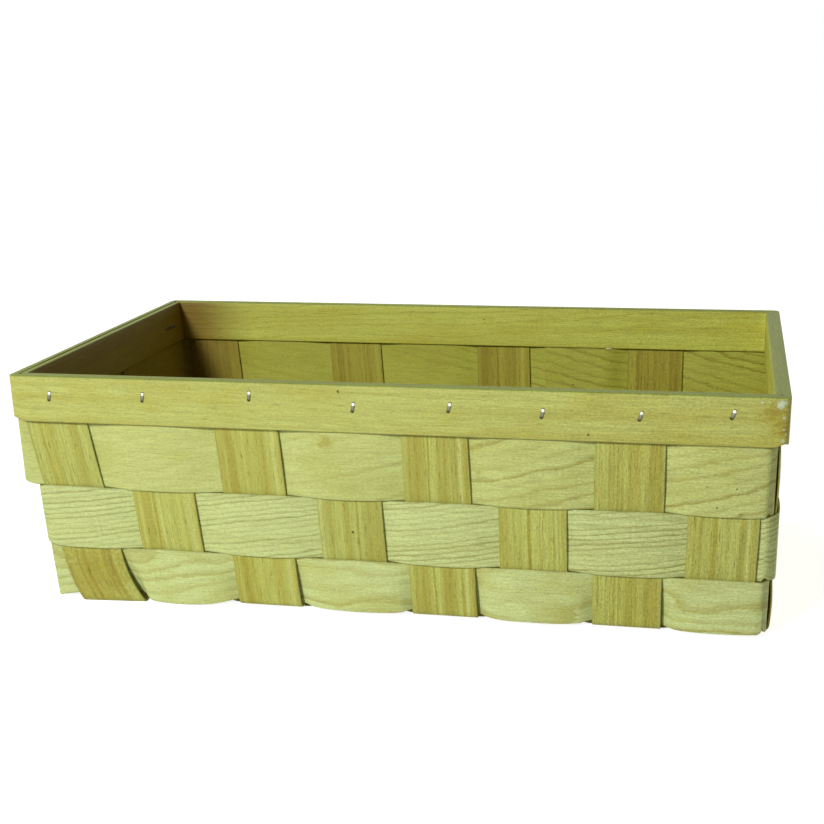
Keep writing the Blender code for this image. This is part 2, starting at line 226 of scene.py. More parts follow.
world_light = 0.055
fill_colour = (1.0, 0.72, 0.36, 1.0)
white = (1.0, 1.0, 1.0, 1.0)
world = bpy.data.worlds.new("studio")
world.use_nodes = True
bpy.context.scene.world = world
backdrop = world.node_tree.nodes["Background"]
white_share = seen_directly(world.node_tree)
world_strength = world_light + (1.0 - world_light) * white_share
world.node_tree.links.new(world_strength.socket, backdrop.inputs["Strength"])
backdrop_colour = mix_colours(world.node_tree, white_share, fill_colour, white)
world.node_tree.links.new(backdrop_colour.socket, backdrop.inputs["Color"])

floor_size = 3.0
floor_glow = 0.88
floor_grey = (0.80, 0.80, 0.80, 1.0)
floor_roughness = 0.9
dull_shine = 0.1
floor_mesh = bpy.data.meshes.new("floor")
floor_edge = floor_size / 2
floor_corners = [(x, y, 0) for x, y in ((-1, -1), (1, -1), (1, 1), (-1, 1))]
floor_mesh.from_pydata([Vector(corner) * floor_edge for corner in floor_corners], [], [(0, 1, 2, 3)])
floor = new_object("floor", floor_mesh)
floor_material, floor_output = new_material("pale_floor")
floor_tree = floor_material.node_tree
floor_sockets = {
    "Base Color": floor_grey,
    "Roughness": floor_roughness,
    "Specular IOR Level": dull_shine,
    "Emission Color": white,
    "Emission Strength": seen_directly(floor_tree) * floor_glow,
}
add_surface(floor_tree, floor_output, floor_sockets)
floor_mesh.materials.append(floor_material)

# The upright splints
# Twelve flat strips of split wood. Each runs down one wall, across the base and up the other wall.
# They cross over and under each other in the base, and bend only in their soft spots between crossings.

splint_thickness = 0.0015
shown_thickness = 0.0011
splint_width = 0.0344
splint_gap = 0.0003
splint_top_drop = 0.0024
outer_rim_thickness = 0.003
inner_rim_thickness = 0.0029
end_wall_flare = 0.00745
side_wall_flare = 0.00795
base_shift = 0.0052
outer_bend_radius = 0.0035
inner_bend_radius = 0.0095
first_foot_shift = 0.0085
first_foot_height = 0.027
first_foot_drop = 0.0009
first_foot_bow = 0.0035
first_foot_twist = 0.0032
first_lean = 0.0058
first_lean_height = 0.100
first_lean_fade = 1.2
profile_steps = 8
rim_corner_margin = 0.0053
base_corner_margin = 0.0072
base_swing = 0.00095
upright_bow_out = 0.0006
upright_bow_in = 0.0004
side_count = 8
end_count = 4
splint_shift_shares = (0, -0.036, 0.021, 0.065, 0.033, 0.032, 0.023, -0.02)
middle_joint_height = 0.065
lower_joint_height = 0.031

rim_low, rim_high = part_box("outer_rim_band")
basket_height = rim_high.z
rim_bottom = rim_low.z
wall_to_outside = splint_thickness / 2 + splint_gap + outer_rim_thickness
rim_half_length = rim_high.x - wall_to_outside
rim_half_depth = rim_high.y - wall_to_outside
base_level = base_swing + splint_thickness / 2

front, right, back, left = range(4)


def blend(start, end, share):
    """The value at this share of the way from start to end."""
    return start + (end - start) * share


def ease(share):
    """Goes from 0 to 1 and leaves and arrives level."""
    return (1 - math.cos(math.pi * share)) / 2


def wall_share(height):
    """0 at the base's level and 1 at the rim's top."""
    return (height - base_level) / (basket_height - base_level)


def halves_at(wall, height):
    """Half the wall's own length, and its distance from the basket's middle."""
    share = wall_share(height)
    half_length = rim_half_length - end_wall_flare * (1 - share)
    half_depth = rim_half_depth - side_wall_flare * (1 - share)
    return (half_length, half_depth) if wall in (front, back) else (half_depth, half_length)


def pitch_at(wall, height):
    """The uprights' spacing, which fans out from the base to the rim."""
    gaps = (side_count if wall in (front, back) else end_count) - 1
    base_half = halves_at(wall, base_level)[0] - base_corner_margin
    rim_half = halves_at(wall, basket_height)[0] - rim_corner_margin
    return (2 * blend(base_half, rim_half, max(0, wall_share(height))) - splint_width) / gaps


def upright_places(wall):
    """Where a wall's uprights stand, in pitches from its middle, in the direction round the basket."""
    count = side_count if wall in (front, back) else end_count
    places = [number - (count - 1) / 2 for number in range(count)]
    if wall in (front, back):
        places = [place + share for place, share in zip(places, splint_shift_shares)]
    return [-place for place in reversed(places)] if wall == back else places


def wall_directions(wall):
    """The way round the basket along this wall, seen from above against the clock, and its outward side."""
    angle = wall * math.pi / 2
    along = Vector((round(math.cos(angle)), round(math.sin(angle)), 0))
    return along, Vector((along.y, -along.x, 0))


def shifted(point):
    """The base sits a little to the right of the rim."""
    return point + Vector((base_shift * (1 - max(0, wall_share(point.z))), 0, 0))


class Station:
    """One cross-section of a strip: the middles of its two edges, its outward side and its thickness."""

    def __init__(self, low, high, out, thickness_share=1.0):
        self.low = shifted(low)
        self.high = shifted(high)
        self.out = out.normalized()
        self.thickness_share = thickness_share


def wall_profile(near, row_signs):
    """The lean, the bend's reach and radius, and (height, bow) down one wall, from the rim to the bend.

    Bow is outwards where the upright passes outside a row.
    """
    steps = profile_steps
    lean = math.atan2(side_wall_flare if near == front else end_wall_flare, basket_height - base_level)
    radius = outer_bend_radius if row_signs[-1] > 0 else inner_bend_radius
    reach = radius * math.tan((math.pi / 2 - lean) / 2)
    bend_top = base_level + reach * math.cos(lean)
    edges = (rim_bottom, middle_joint_height, lower_joint_height, bend_top)
    top = basket_height - splint_top_drop
    profile = [(blend(top, rim_bottom, step / steps), 0) for step in range(steps)]
    for sign, top, bottom in zip(row_signs, edges, edges[1:]):
        bow = upright_bow_out if sign > 0 else -upright_bow_in
        for step in range(steps):
            profile.append((blend(top, bottom, step / steps), bow * math.sin(math.pi * step / steps)))
    profile.append((bend_top, 0))
    return lean, reach, radius, profile


def splint_profile(near, near_signs, base_signs, far_signs, crossings, near_drop=None):
    """(run, height, outward run, outward height, offset) of a splint's middle line, from rim to rim."""
    steps = profile_steps
    half_base = halves_at(near, base_level)[1]

    def side_of(side, signs, drop):
        lean, reach, radius, profile = wall_profile(near, signs)
        part = []
        for height, bow in profile:
            run = side * halves_at(near, height)[1]
            part.append((run, height, side * math.cos(lean), -math.sin(lean), bow))
        for step in range(1, steps + 1):
            angle = blend(lean, math.pi / 2, step / steps)
            run = side * (half_base - reach + radius * math.cos(angle))
            height = base_level + radius * (1 - math.sin(angle))
            offset = drop * ease(step / steps)
            part.append((run, height, side * math.cos(angle), -math.sin(angle), offset))
        return part

    base = []
    for number, (place, sign) in enumerate(zip(crossings, base_signs)):
        base.append((place - splint_width / 2, base_level, 0, -1, sign * base_swing))
        base.append((place + splint_width / 2, base_level, 0, -1, sign * base_swing))
        if number + 1 < len(crossings):
            start = place + splint_width / 2
            end = crossings[number + 1] - splint_width / 2
            for step in range(1, steps):
                offset = sign * base_swing * (1 - 2 * ease(step / steps))
                base.append((blend(start, end, step / steps), base_level, 0, -1, offset))
    base = [point for point in base if abs(point[0]) < half_base - inner_bend_radius]
    near_part = side_of(-1, near_signs, near_drop or base_signs[0] * base_swing / 2)
    far_part = side_of(1, far_signs, base_signs[-1] * base_swing / 2)
    return near_part + base + list(reversed(far_part))


def foot_share(height):
    """How far the first upright's foot is turned at a height: 1 at the ground and 0 above the foot."""
    return max(0.0, 1 - height / first_foot_height) ** 2


def lean_at(height):
    """The first upright's shift along the wall: to the left towards the rim, to the right at its foot."""
    leaning = min(1.0, max(0.0, height / first_lean_height))
    return first_foot_shift * foot_share(height) - first_lean * leaning


def splint_stations(near, place, profile, leaning=False):
    """A splint's stations. Place is in pitches from the middle of the walls that it runs down."""
    if near == front:
        run_direction, width_direction = Vector((0, 1, 0)), Vector((1, 0, 0))
    else:
        run_direction, width_direction = Vector((1, 0, 0)), Vector((0, 1, 0))
    up = Vector((0, 0, 1))
    stations = []
    for run, height, outward_run, outward_height, offset in profile:
        out = run_direction * outward_run + up * outward_height
        middle = run_direction * run + width_direction * (place * pitch_at(near, height)) + up * height
        middle += out * offset
        half = width_direction * (splint_width / 2)
        twist = Vector((0, 0, 0))
        if leaning and run < 0:
            fade = min(1.0, -run / rim_half_depth * first_lean_fade)
            middle += width_direction * (lean_at(height) * fade)
            middle -= run_direction * (first_foot_bow * foot_share(height) * fade)
            twist = run_direction * (first_foot_twist * foot_share(height) * fade)
        stations.append(Station(middle - half - twist, middle + half, out))
    return stations


def section_mesh(name, outline):
    """A strip's cross-section as a closed line, X across the strip and Y through it.

    The outline's corners are (x, y, radius), and its long sides are divided so that they can ripple.
    """
    corner_steps = 4
    longest_side = 0.0026
    corners = [(Vector((x, y, 0)), radius) for x, y, radius in outline]
    rounded = []
    for number, (corner, radius) in enumerate(corners):
        before = corners[number - 1][0]
        after = corners[(number + 1) % len(corners)][0]
        start = corner + (before - corner).normalized() * radius
        end = corner + (after - corner).normalized() * radius
        for step in range(corner_steps + 1):
            share = step / corner_steps
            rounded.append(start.lerp(corner, share).lerp(corner.lerp(end, share), share))
    points = []
    for number, point in enumerate(rounded):
        following = rounded[(number + 1) % len(rounded)]
        pieces = max(1, round((following - point).length / longest_side))
        points += [point.lerp(following, piece / pieces) for piece in range(pieces)]
    edges = [(number, (number + 1) % len(points)) for number in range(len(points))]
    mesh = bpy.data.meshes.new(name)
    mesh.from_pydata(points, edges, [])
    return new_object(name, mesh)


def flat_outline(width, thickness, radius):
    """A plain strip's corners, for section_mesh."""
    half_width, half_thickness = width / 2, thickness / 2
    signs = ((1, -1), (1, 1), (-1, 1), (-1, -1))
    return [(x * half_width, y * half_thickness, radius) for x, y in signs]


def spine_mesh(name, stations, width):
    """A strip's middle line, with what its stations say stored on its points."""
    middles = [(station.low + station.high) / 2 for station in stations]
    edges = [(number, number + 1) for number in range(len(stations) - 1)]
    mesh = bpy.data.meshes.new(name)
    mesh.from_pydata(middles, edges, [])
    travelled = [0.0]
    for middle, following in zip(middles, middles[1:]):
        travelled.append(travelled[-1] + (following - middle).length)
    vectors = {
        "across": [(station.high - station.low) / width for station in stations],
        "out": [station.out for station in stations],
    }
    numbers = {
        "along": travelled,
        "thickness_share": [station.thickness_share for station in stations],
    }
    for label, values in vectors.items():
        attribute = mesh.attributes.new(label, "FLOAT_VECTOR", "POINT")
        attribute.data.foreach_set("vector", [part for value in values for part in value])
    for label, values in numbers.items():
        attribute = mesh.attributes.new(label, "FLOAT", "POINT")
        attribute.data.foreach_set("value", values)
    return new_object(name, mesh)


def geometry_tree(name, inputs):
    """A new Geometry Nodes tree with these named inputs, its group input, and its output node."""
    tree = bpy.data.node_groups.new(name, "GeometryNodeTree")
    tree.interface.new_socket(name="Geometry", in_out="OUTPUT", socket_type="NodeSocketGeometry")
    for label, kind in inputs.items():
        tree.interface.new_socket(name=label, in_out="INPUT", socket_type="NodeSocket" + kind)
    group_input = Socket(tree, tree.nodes.new("NodeGroupInput"))
    return tree, group_input, tree.nodes.new("NodeGroupOutput")


def named_attribute(tree, name, kind):
    return add_node(tree, "GeometryNodeInputNamedAttribute", {"data_type": kind}, {"Name": name})


def store_attribute(tree, geometry, name, kind, domain, value):
    settings = {"data_type": kind, "domain": domain}
    sockets = {"Geometry": geometry, "Name": name, "Value": value}
    return add_node(tree, "GeometryNodeStoreNamedAttribute", settings, sockets)


def set_material(tree, geometry, material):
    sockets = {"Geometry": geometry, "Material": material}
    return add_node(tree, "GeometryNodeSetMaterial", {}, sockets)


def vector_maths(tree, operation, first, second):
    sockets = {"Vector": first, "Scale": second} if operation == "SCALE" else {0: first, 1: second}
    return add_node(tree, "ShaderNodeVectorMath", {"operation": operation}, sockets)


def noise_at(tree, x, y, z, detail, roughness=0.5):
    """Smooth noise from 0 to 1 at this place."""
    place = add_node(tree, "ShaderNodeCombineXYZ", {}, {"X": x, "Y": y, "Z": z})
    sockets = {"Vector": place, "Scale": 1.0, "Detail": detail, "Roughness": roughness}
    return add_node(tree, "ShaderNodeTexNoise", {}, sockets)


# How often the ripples and the edges' wandering change along a strip, across it and from plank to plank,
# and how much finer detail they have.
ripple_rates = (22, 45, 3.7)
ripple_detail = 2.0
wander_rates = (26, 4, 5.3)
wander_detail = 4.0
grain_turn_share = 0.8


def rippled_strip(tree, given, strip):
    """Sets a swept strip's points on its middle line's own directions, with its ripples and wandering."""
    corner = add_node(
        tree, "ShaderNodeSeparateXYZ", {}, {"Vector": named_attribute(tree, "corner", "FLOAT_VECTOR")}
    )
    across_place = corner.output("X")
    through_place = corner.output("Y") * named_attribute(tree, "thickness_share", "FLOAT")
    along = named_attribute(tree, "along", "FLOAT")
    plank = given.output("Plank")
    edge_share = across_place / given.output("Half Width")
    along_rate, across_rate, plank_rate = ripple_rates
    ripple = noise_at(
        tree, along * along_rate, across_place * across_rate, plank * plank_rate, ripple_detail
    )
    along_rate, edge_rate, plank_rate = wander_rates
    wander = noise_at(tree, along * along_rate, edge_share * edge_rate, plank * plank_rate, wander_detail)
    edge_pull = edge_share * edge_share * edge_share * edge_share
    across_shift = (wander - 0.5) * given.output("Edge Wander") * edge_pull
    through_shift = (ripple - 0.5) * given.output("Face Ripple")
    middle = named_attribute(tree, "middle", "FLOAT_VECTOR")
    across = named_attribute(tree, "across", "FLOAT_VECTOR")
    out = named_attribute(tree, "out", "FLOAT_VECTOR")
    sideways = vector_maths(tree, "SCALE", across, across_place + across_shift)
    outward = vector_maths(tree, "SCALE", out, through_place + through_shift)
    place = vector_maths(tree, "ADD", vector_maths(tree, "ADD", middle, sideways), outward)
    strip = add_node(tree, "GeometryNodeSetPosition", {}, {"Geometry": strip, "Position": place})
    grain_across = across_place + through_place * grain_turn_share
    grain_place = add_node(tree, "ShaderNodeCombineXYZ", {}, {"X": along, "Y": grain_across})
    face_share = through_place / shown_thickness
    strip = store_attribute(tree, strip, "grain", "FLOAT2", "CORNER", grain_place)
    strip = store_attribute(tree, strip, "plank", "FLOAT", "POINT", plank)
    strip = store_attribute(tree, strip, "edge", "FLOAT", "POINT", edge_share)
    return store_attribute(tree, strip, "face", "FLOAT", "POINT", face_share)


def add_strip_tree():
    """Sweeps the cross-section along the middle line, then ripples its faces and lets its edges wander."""
    inputs = {
        "Geometry": "Geometry",
        "Section": "Object",
        "Step": "Float",
        "Half Width": "Float",
        "Face Ripple": "Float",
        "Edge Wander": "Float",
        "Plank": "Float",
        "Material": "Material",
    }
    tree, given, output = geometry_tree("woven_strip", inputs)
    position = add_node(tree, "GeometryNodeInputPosition")
    spine = add_node(tree, "GeometryNodeMeshToCurve", {}, {"Mesh": given})
    spine = store_attribute(tree, spine, "middle", "FLOAT_VECTOR", "POINT", position)
    spine = add_node(
        tree,
        "GeometryNodeResampleCurve",
        {"mode": "LENGTH"},
        {"Curve": spine, "Length": given.output("Step")},
    )
    section = add_node(tree, "GeometryNodeObjectInfo", {}, {"Object": given.output("Section")})
    section = add_node(tree, "GeometryNodeMeshToCurve", {}, {"Mesh": section.output("Geometry")})
    section = store_attribute(tree, section, "corner", "FLOAT_VECTOR", "POINT", position)
    strip = add_node(
        tree,
        "GeometryNodeCurveToMesh",
        {},
        {"Curve": spine, "Profile Curve": section, "Fill Caps": True},
    )
    strip = rippled_strip(tree, given, strip)
    strip = add_node(tree, "GeometryNodeRealizeInstances", {}, {"Geometry": strip})
    strip = set_material(tree, strip, given.output("Material"))
    tree.links.new(strip.socket, output.inputs["Geometry"])
    return tree


def set_inputs(modifier, values):
    """Sets a Geometry Nodes modifier's inputs by their sockets' identifiers."""
    for item in modifier.node_group.interface.items_tree:
        if item.item_type == "SOCKET" and item.in_out == "INPUT" and item.name in values:
            modifier[item.identifier] = values[item.name]


sharp_angle = math.radians(40)


def finished_mesh(obj, helpers):
    """The evaluated object as a plain mesh, with its faces pointing out and its helper attributes gone."""
    bpy.context.view_layer.update()
    evaluated = obj.evaluated_get(bpy.context.evaluated_depsgraph_get())
    mesh = bpy.data.meshes.new_from_object(evaluated)
    for label in helpers:
        mesh.attributes.remove(mesh.attributes[label])
    shape = bmesh.new()
    shape.from_mesh(mesh)
    bmesh.ops.recalc_face_normals(shape, faces=shape.faces)
    shape.to_mesh(mesh)
    shape.free()
    mesh.shade_smooth()
    mesh.set_sharp_from_angle(angle=sharp_angle)
    return mesh


def add_piece(name, mesh, nodes):
    """A finished piece in place of these CAD nodes."""
    piece = new_object(name, mesh)
    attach(piece, "root")
    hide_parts(*nodes)


strip_tree = add_strip_tree()
strip_helpers = ("middle", "corner", "across", "out", "along", "thickness_share")
splint_step = 0.0016
splint_ripple = 0.00022
splint_wander = 0.0007


def add_strip(
    name,
    node,
    stations,
    section,
    width,
    plank,
    material,
    step=splint_step,
    ripple=splint_ripple,
    wander=splint_wander,
):
    """A strip of wood along these stations, as one finished piece. Each plank number has its own grain."""
    spine = spine_mesh(name + "_spine", stations, width)
    modifier = spine.modifiers.new("strip", "NODES")
    modifier.node_group = strip_tree
    values = {
        "Section": section,
        "Step": step,
        "Half Width": width / 2,
        "Face Ripple": ripple,
        "Edge Wander": wander,
        "Plank": plank,
        "Material": material,
    }
    set_inputs(modifier, values)
    mesh = finished_mesh(spine, strip_helpers)
    bpy.data.objects.remove(spine)
    add_piece(name, mesh, [node])


def smooth_step(tree, value, low, high):
    """Rises from 0 at the low value to 1 at the high one."""
    settings = {"interpolation_type": "SMOOTHSTEP"}
    return add_node(
        tree, "ShaderNodeMapRange", settings, {"Value": value, "From Min": low, "From Max": high}
    )


class Grain:
    """How a kind of strip was cut from the tree, and how strongly each mark shows in it.

    Spacing lies between the year rings. Heart and depth say where the tree's heart lies, across the strip
    and below it. Along the strip they change by tilt and slope, and wave lets the depth wander. Late is the
    share of a ring before its dark late wood begins. The other values are strengths.
    """

    def __init__(
        self, spacing, tilt, heart, depth, slope, wave, rings, late, streaks, clouds, pores, ochre_share
    ):
        self.spacing = spacing
        self.tilt = tilt
        self.heart = heart
        self.depth = depth
        self.slope = slope
        self.wave = wave
        self.rings = rings
        self.late = late
        self.streaks = streaks
        self.clouds = clouds
        self.pores = pores
        self.ochre_share = ochre_share


def object_place(tree):
    return add_node(tree, "ShaderNodeTexCoord").output("Object")


def attribute_at(tree, name):
    return add_node(tree, "ShaderNodeAttribute", {"attribute_name": name}).output("Fac")


def chance_at(tree, value):
    """A chance number, and a chance colour, that are the same wherever this value is."""
    return add_node(tree, "ShaderNodeTexWhiteNoise", {"noise_dimensions": "1D"}, {"W": value})


# Levels, here and below, are the two values between which something comes in fully or goes out again.
mark_raggedness = 1.9
mark_noise = {"Scale": 600.0, "Detail": 3.0}
mark_levels = (0.3, 1.1)


def marks_at(tree, places):
    """How near the surface is to any of these places: 1 inside its uneven radius, and 0 outside."""
    place = object_place(tree)
    ragged = add_node(tree, "ShaderNodeTexNoise", {}, {"Vector": place, **mark_noise})
    nearest = None
    for centre, radius in places:
        distance = vector_maths(tree, "DISTANCE", place, centre) / radius + (ragged - 0.5) * mark_raggedness
        share = 1 - smooth_step(tree, distance, *mark_levels)
        nearest = share if nearest is None else nearest.maths("MAXIMUM", nearest, share)
    return nearest


number_tolerance = 0.4


def band_share_at(tree, plank, edge, bands):
    """The single darker (above 0) or paler (below 0) bands that run along certain splints."""
    total = None
    for number, lines in bands.items():
        stops = []
        for place, half_width, strength in lines:
            for shift, share in ((-1, 0), (-0.5, 1), (0.5, 1), (1, 0)):
                level = 0.5 + strength * share / 2
                stops.append(((place + shift * half_width + 1) / 2, (level, level, level)))
        ramp = add_node(tree, "ShaderNodeValToRGB", {"stops": stops}, {"Fac": edge * 0.5 + 0.5})
        chosen = plank.maths("COMPARE", plank, number, number_tolerance)
        share = (ramp * 2.0 - 1.0) * chosen
        total = share if total is None else total + share
    return total


class WoodMarks:
    """What shows only at certain places of a kind of strip.

    Knots, chips and stains are places with their radii, and bands are listed by plank number. Ring_start is
    from where to where along X the year rings grow stronger, and their share before that. Inside and top are
    the painted shade and light that the colour is multiplied by on the inner face and along the top edge.
    """

    def __init__(self, knots=(), chips=(), stains=(), bands=None, ring_start=None, inside=None, top=None):
        self.knots = knots
        self.chips = chips
        self.stains = stains
        self.bands = bands
        self.ring_start = ring_start
        self.inside = inside
        self.top = top


# The patterns in split wood: how often each changes in a metre along the grain and across it, what a plank's
# number is multiplied by and shifted by to give every plank its own, how many finer layers it has, and how
# strong these are.
wood_patterns = {
    "drift": (8, 20, 3.1, 0, 2.0, 0.5),
    "curl": (30, 70, 2.3, 9, 2.0, 0.5),
    "shake": (130, 420, 1.3, 2, 2.0, 0.5),
    "fibre": (75, 1500, 1, 0, 3.0, 0.65),
    "thread": (26, 560, 1, 4, 3.0, 0.6),
    "streak": (6, 240, 1, 5, 4.0, 0.6),
    "dashes": (150, 1500, 1, 7, 1.0, 0.4),
    "band": (2.2, 95, 1, 11, 2.0, 0.5),
    "cloud": (22, 46, 1, 13, 3.0, 0.6),
    "speck": (170, 420, 1, 17, 0.0, 0.0),
    "fuzz": (620, 1300, 1, 19, 2.0, 0.6),
}
plank_stride = 1.7
# Towards the right end the grain's contrast rises, and the colour is a little darker as painted shade.
right_contrast_and_shade_levels = (-0.02, 0.15)


class WoodPoint:
    """A point on a strip's surface, as sockets: along and across its grain, and by its edge, face and X."""

    def __init__(self, tree):
        grain_map = add_node(tree, "ShaderNodeUVMap", {"uv_map": "grain"})
        lengths = add_node(tree, "ShaderNodeSeparateXYZ", {}, {"Vector": grain_map})
        self.tree = tree
        self.patterns = {}
        self.run = lengths.output("X")
        self.across = lengths.output("Y")
        self.plank = attribute_at(tree, "plank")
        self.edge = attribute_at(tree, "edge")
        self.face = attribute_at(tree, "face")
        self.x = add_node(tree, "ShaderNodeSeparateXYZ", {}, {"Vector": object_place(tree)}).output("X")
        chance = chance_at(tree, self.plank).output("Color")
        chances = add_node(tree, "ShaderNodeSeparateXYZ", {}, {"Vector": chance})
        self.tint = chances.output("X")
        self.warmth = chances.output("Y")
        self.along = self.run + self.plank * plank_stride
        self.right_contrast_and_shade = smooth_step(tree, self.x, *right_contrast_and_shade_levels)

    def pattern(self, name):
        """One of the wood's patterns, from 0 to 1. Its nodes are made once in each material."""
        if name not in self.patterns:
            along_rate, across_rate, plank_rate, plank_shift, detail, roughness = wood_patterns[name]
            x = self.along * along_rate
            y = self.across * across_rate
            z = self.plank * plank_rate + plank_shift
            self.patterns[name] = noise_at(self.tree, x, y, z, detail, roughness)
        return self.patterns[name]


heart_spread = 0.006
ring_curl = 1.1
ring_shake = 0.5
ring_wave = 80
ring_peak = 0.86
ring_fall_levels = (0.87, 0.98)
faintest_ring = 0.2


def late_wood_at(point, grain, ring_start):
    """How dark the year rings are, where the strip cuts them at its own distance from the tree's heart."""
    tree = point.tree
    drift = point.pattern("drift") - 0.5
    curl = point.pattern("curl") - 0.5
    shake = point.pattern("shake") - 0.5
    offset = point.across - grain.heart + point.run * grain.tilt + (point.tint - 0.5) * heart_spread
    depth = grain.depth + point.run * grain.slope + drift * grain.wave
    distance = (offset * offset + depth * depth) ** 0.5
    rings = distance / grain.spacing + curl * ring_curl + shake * ring_shake
    rings = rings + drift * (grain.wave * ring_wave)
    phase = rings.maths("FRACT", rings)
    chance = chance_at(tree, rings.maths("FLOOR", rings)).output("Value")
    late_wood = smooth_step(tree, phase, grain.late, ring_peak)
    late_wood = late_wood * (1 - smooth_step(tree, phase, *ring_fall_levels))
    late_wood = late_wood * (faintest_ring + chance * (1 - faintest_ring))
    if ring_start:
        first, last, least = ring_start
        late_wood = late_wood * (least + smooth_step(tree, point.x, first, last) * (1 - least))
    return late_wood


ring_threads = (0.15, 1.6)
streak_threads = (0.2, 1.5)
band_threads = (0.35, 1.2)
streak_levels = (0.42, 0.66)
right_streak_gain = 0.5
ochre_levels = (0.44, 0.70)
least_warmth = 0.55
warmth_share = 0.6
cloud_levels = (0.42, 0.70)
band_curl = 0.12
band_drift = 0.2
dark_band = (0.35, 0.285, 0.025, 1)
pale_band = (0.66, 0.70, 0.26, 1)


def threaded(point, least, share):
    """A strength that goes up and down with the fine threads along the grain."""
    return least + point.pattern("thread") * share


def grain_colour(point, late_wood, pale, dark, ochre, grain, bands):
    """The wood's colour between its year rings, streaks, ochre bands, clouds and single bands."""
    tree = point.tree
    ring_share = late_wood * grain.rings * threaded(point, *ring_threads)
    colour = mix_colours(tree, ring_share, pale, dark)
    streak_share = smooth_step(tree, point.pattern("streak"), *streak_levels) * grain.streaks
    streak_share = streak_share * threaded(point, *streak_threads) * (1.0 + point.right_contrast_and_shade * right_streak_gain)
    colour = mix_colours(tree, streak_share, colour, dark)
    ochre_share = smooth_step(tree, point.pattern("band"), *ochre_levels)
    ochre_share = ochre_share * (point.warmth * warmth_share + least_warmth) * grain.ochre_share
    colour = mix_colours(tree, ochre_share, colour, ochre)
    cloud_share = smooth_step(tree, point.pattern("cloud"), *cloud_levels) * grain.clouds
    colour = mix_colours(tree, cloud_share, colour, ochre)
    if bands:
        curl = point.pattern("curl") - 0.5
        drift = point.pattern("drift") - 0.5
        edge = point.edge + curl * band_curl + drift * band_drift
        share = band_share_at(tree, point.plank, edge, bands) * threaded(point, *band_threads)
        colour = mix_colours(tree, share.maths("MAXIMUM", share, 0.0), colour, dark_band)
        colour = mix_colours(tree, share.maths("MAXIMUM", share * -1.0, 0.0), colour, pale_band)
    return colour


fibre_contrast = 0.52
thread_contrast = 0.22
fuzz_contrast = 0.58
plank_contrast = 0.08
# Painted shade: how much darker the colour gets towards the right end.
right_painted_shade = 0.03
edge_levels = (0.93, 1.0)
edge_shade = 0.16


def shaded(point, colour, grain):
    """The colour, paler and darker with the fine fibres and from plank to plank, and darker at the edges."""
    tree = point.tree
    fibre = (point.pattern("fibre") - 0.5) * fibre_contrast
    thread = (point.pattern("thread") - 0.5) * thread_contrast
    fuzz = (point.pattern("fuzz") - 0.5) * fuzz_contrast
    value = (fibre + thread + fuzz) * (1.0 + point.right_contrast_and_shade * grain.pores)
    # Painted shade: the colour darkens slightly towards the right end.
    value = value + (1.0 - point.right_contrast_and_shade * right_painted_shade) + (point.tint - 0.5) * plank_contrast
    value = value * (1 - smooth_step(tree, abs(point.edge), *edge_levels) * edge_shade)
    return vector_maths(tree, "SCALE", colour, value)


stain_tint = (0.80, 0.68, 0.40)
least_stain = 0.3
knot_colour = (0.055, 0.035, 0.008, 1)
knot_share = 0.9
chip_colour = (0.62, 0.72, 0.52, 1)
# Painted shade: where along the top edge the rim's colour is tinted darker and greener.
top_shade_levels = (0.955, 0.985)
# Painted shade: the inner faces at the left end are darker and redder still.
left_end_shade_levels = (0.135, 0.185)
left_end_shade_inside = (0.45, 0.29, 0.08)
inner_face_levels = (-0.4, 0.0)


def marked(point, colour, marks):
    """The colour with its stains, knots and chips, and with the painted shade and light of its top edge and
    inner face.
    """
    tree = point.tree
    if marks.stains:
        stained = vector_maths(tree, "MULTIPLY", colour, stain_tint)
        stain_share = marks_at(tree, marks.stains) * (point.pattern("cloud") + least_stain)
        colour = mix_colours(tree, stain_share, colour, stained)
    if marks.knots:
        colour = mix_colours(tree, marks_at(tree, marks.knots) * knot_share, colour, knot_colour)
    if marks.chips:
        colour = mix_colours(tree, marks_at(tree, marks.chips), colour, chip_colour)
    # Painted shade on the strip's inner face, or painted light where the tint is above 1.
    inside_share = 1 - smooth_step(tree, point.face, *inner_face_levels)
    if marks.top:
        # Painted shade along the top edge.
        top_shade_share = smooth_step(tree, point.edge, *top_shade_levels)
        colour = mix_colours(tree, top_shade_share, colour, vector_maths(tree, "MULTIPLY", colour, marks.top))
        inside_share = inside_share * (1 - top_shade_share)
    # Painted shade, darker and redder, on the inner faces at the left end.
    left_end_shade = smooth_step(tree, point.x * -1.0, *left_end_shade_levels)
    inside_painted_tint = mix_colours(tree, left_end_shade, (*marks.inside, 1), (*left_end_shade_inside, 1))
    inside_painted_colour = vector_maths(tree, "MULTIPLY", colour, inside_painted_tint)
    return mix_colours(tree, inside_share, colour, inside_painted_colour)


pore_levels = (0.60, 0.72)
early_wood_pores = 0.35
pore_tint = 0.45
speck_levels = (0.875, 0.91)
speck_share = 0.6
speck_colour = (0.10, 0.06, 0.015, 1)
late_wood_relief = 0.3
fibre_relief = 0.5
thread_relief = 0.7
fuzz_relief = 0.4
pore_relief = 0.7
bump_strength = 0.7
bump_height = 0.00015
fibre_roughness = 0.22
wood_shine = 0.3


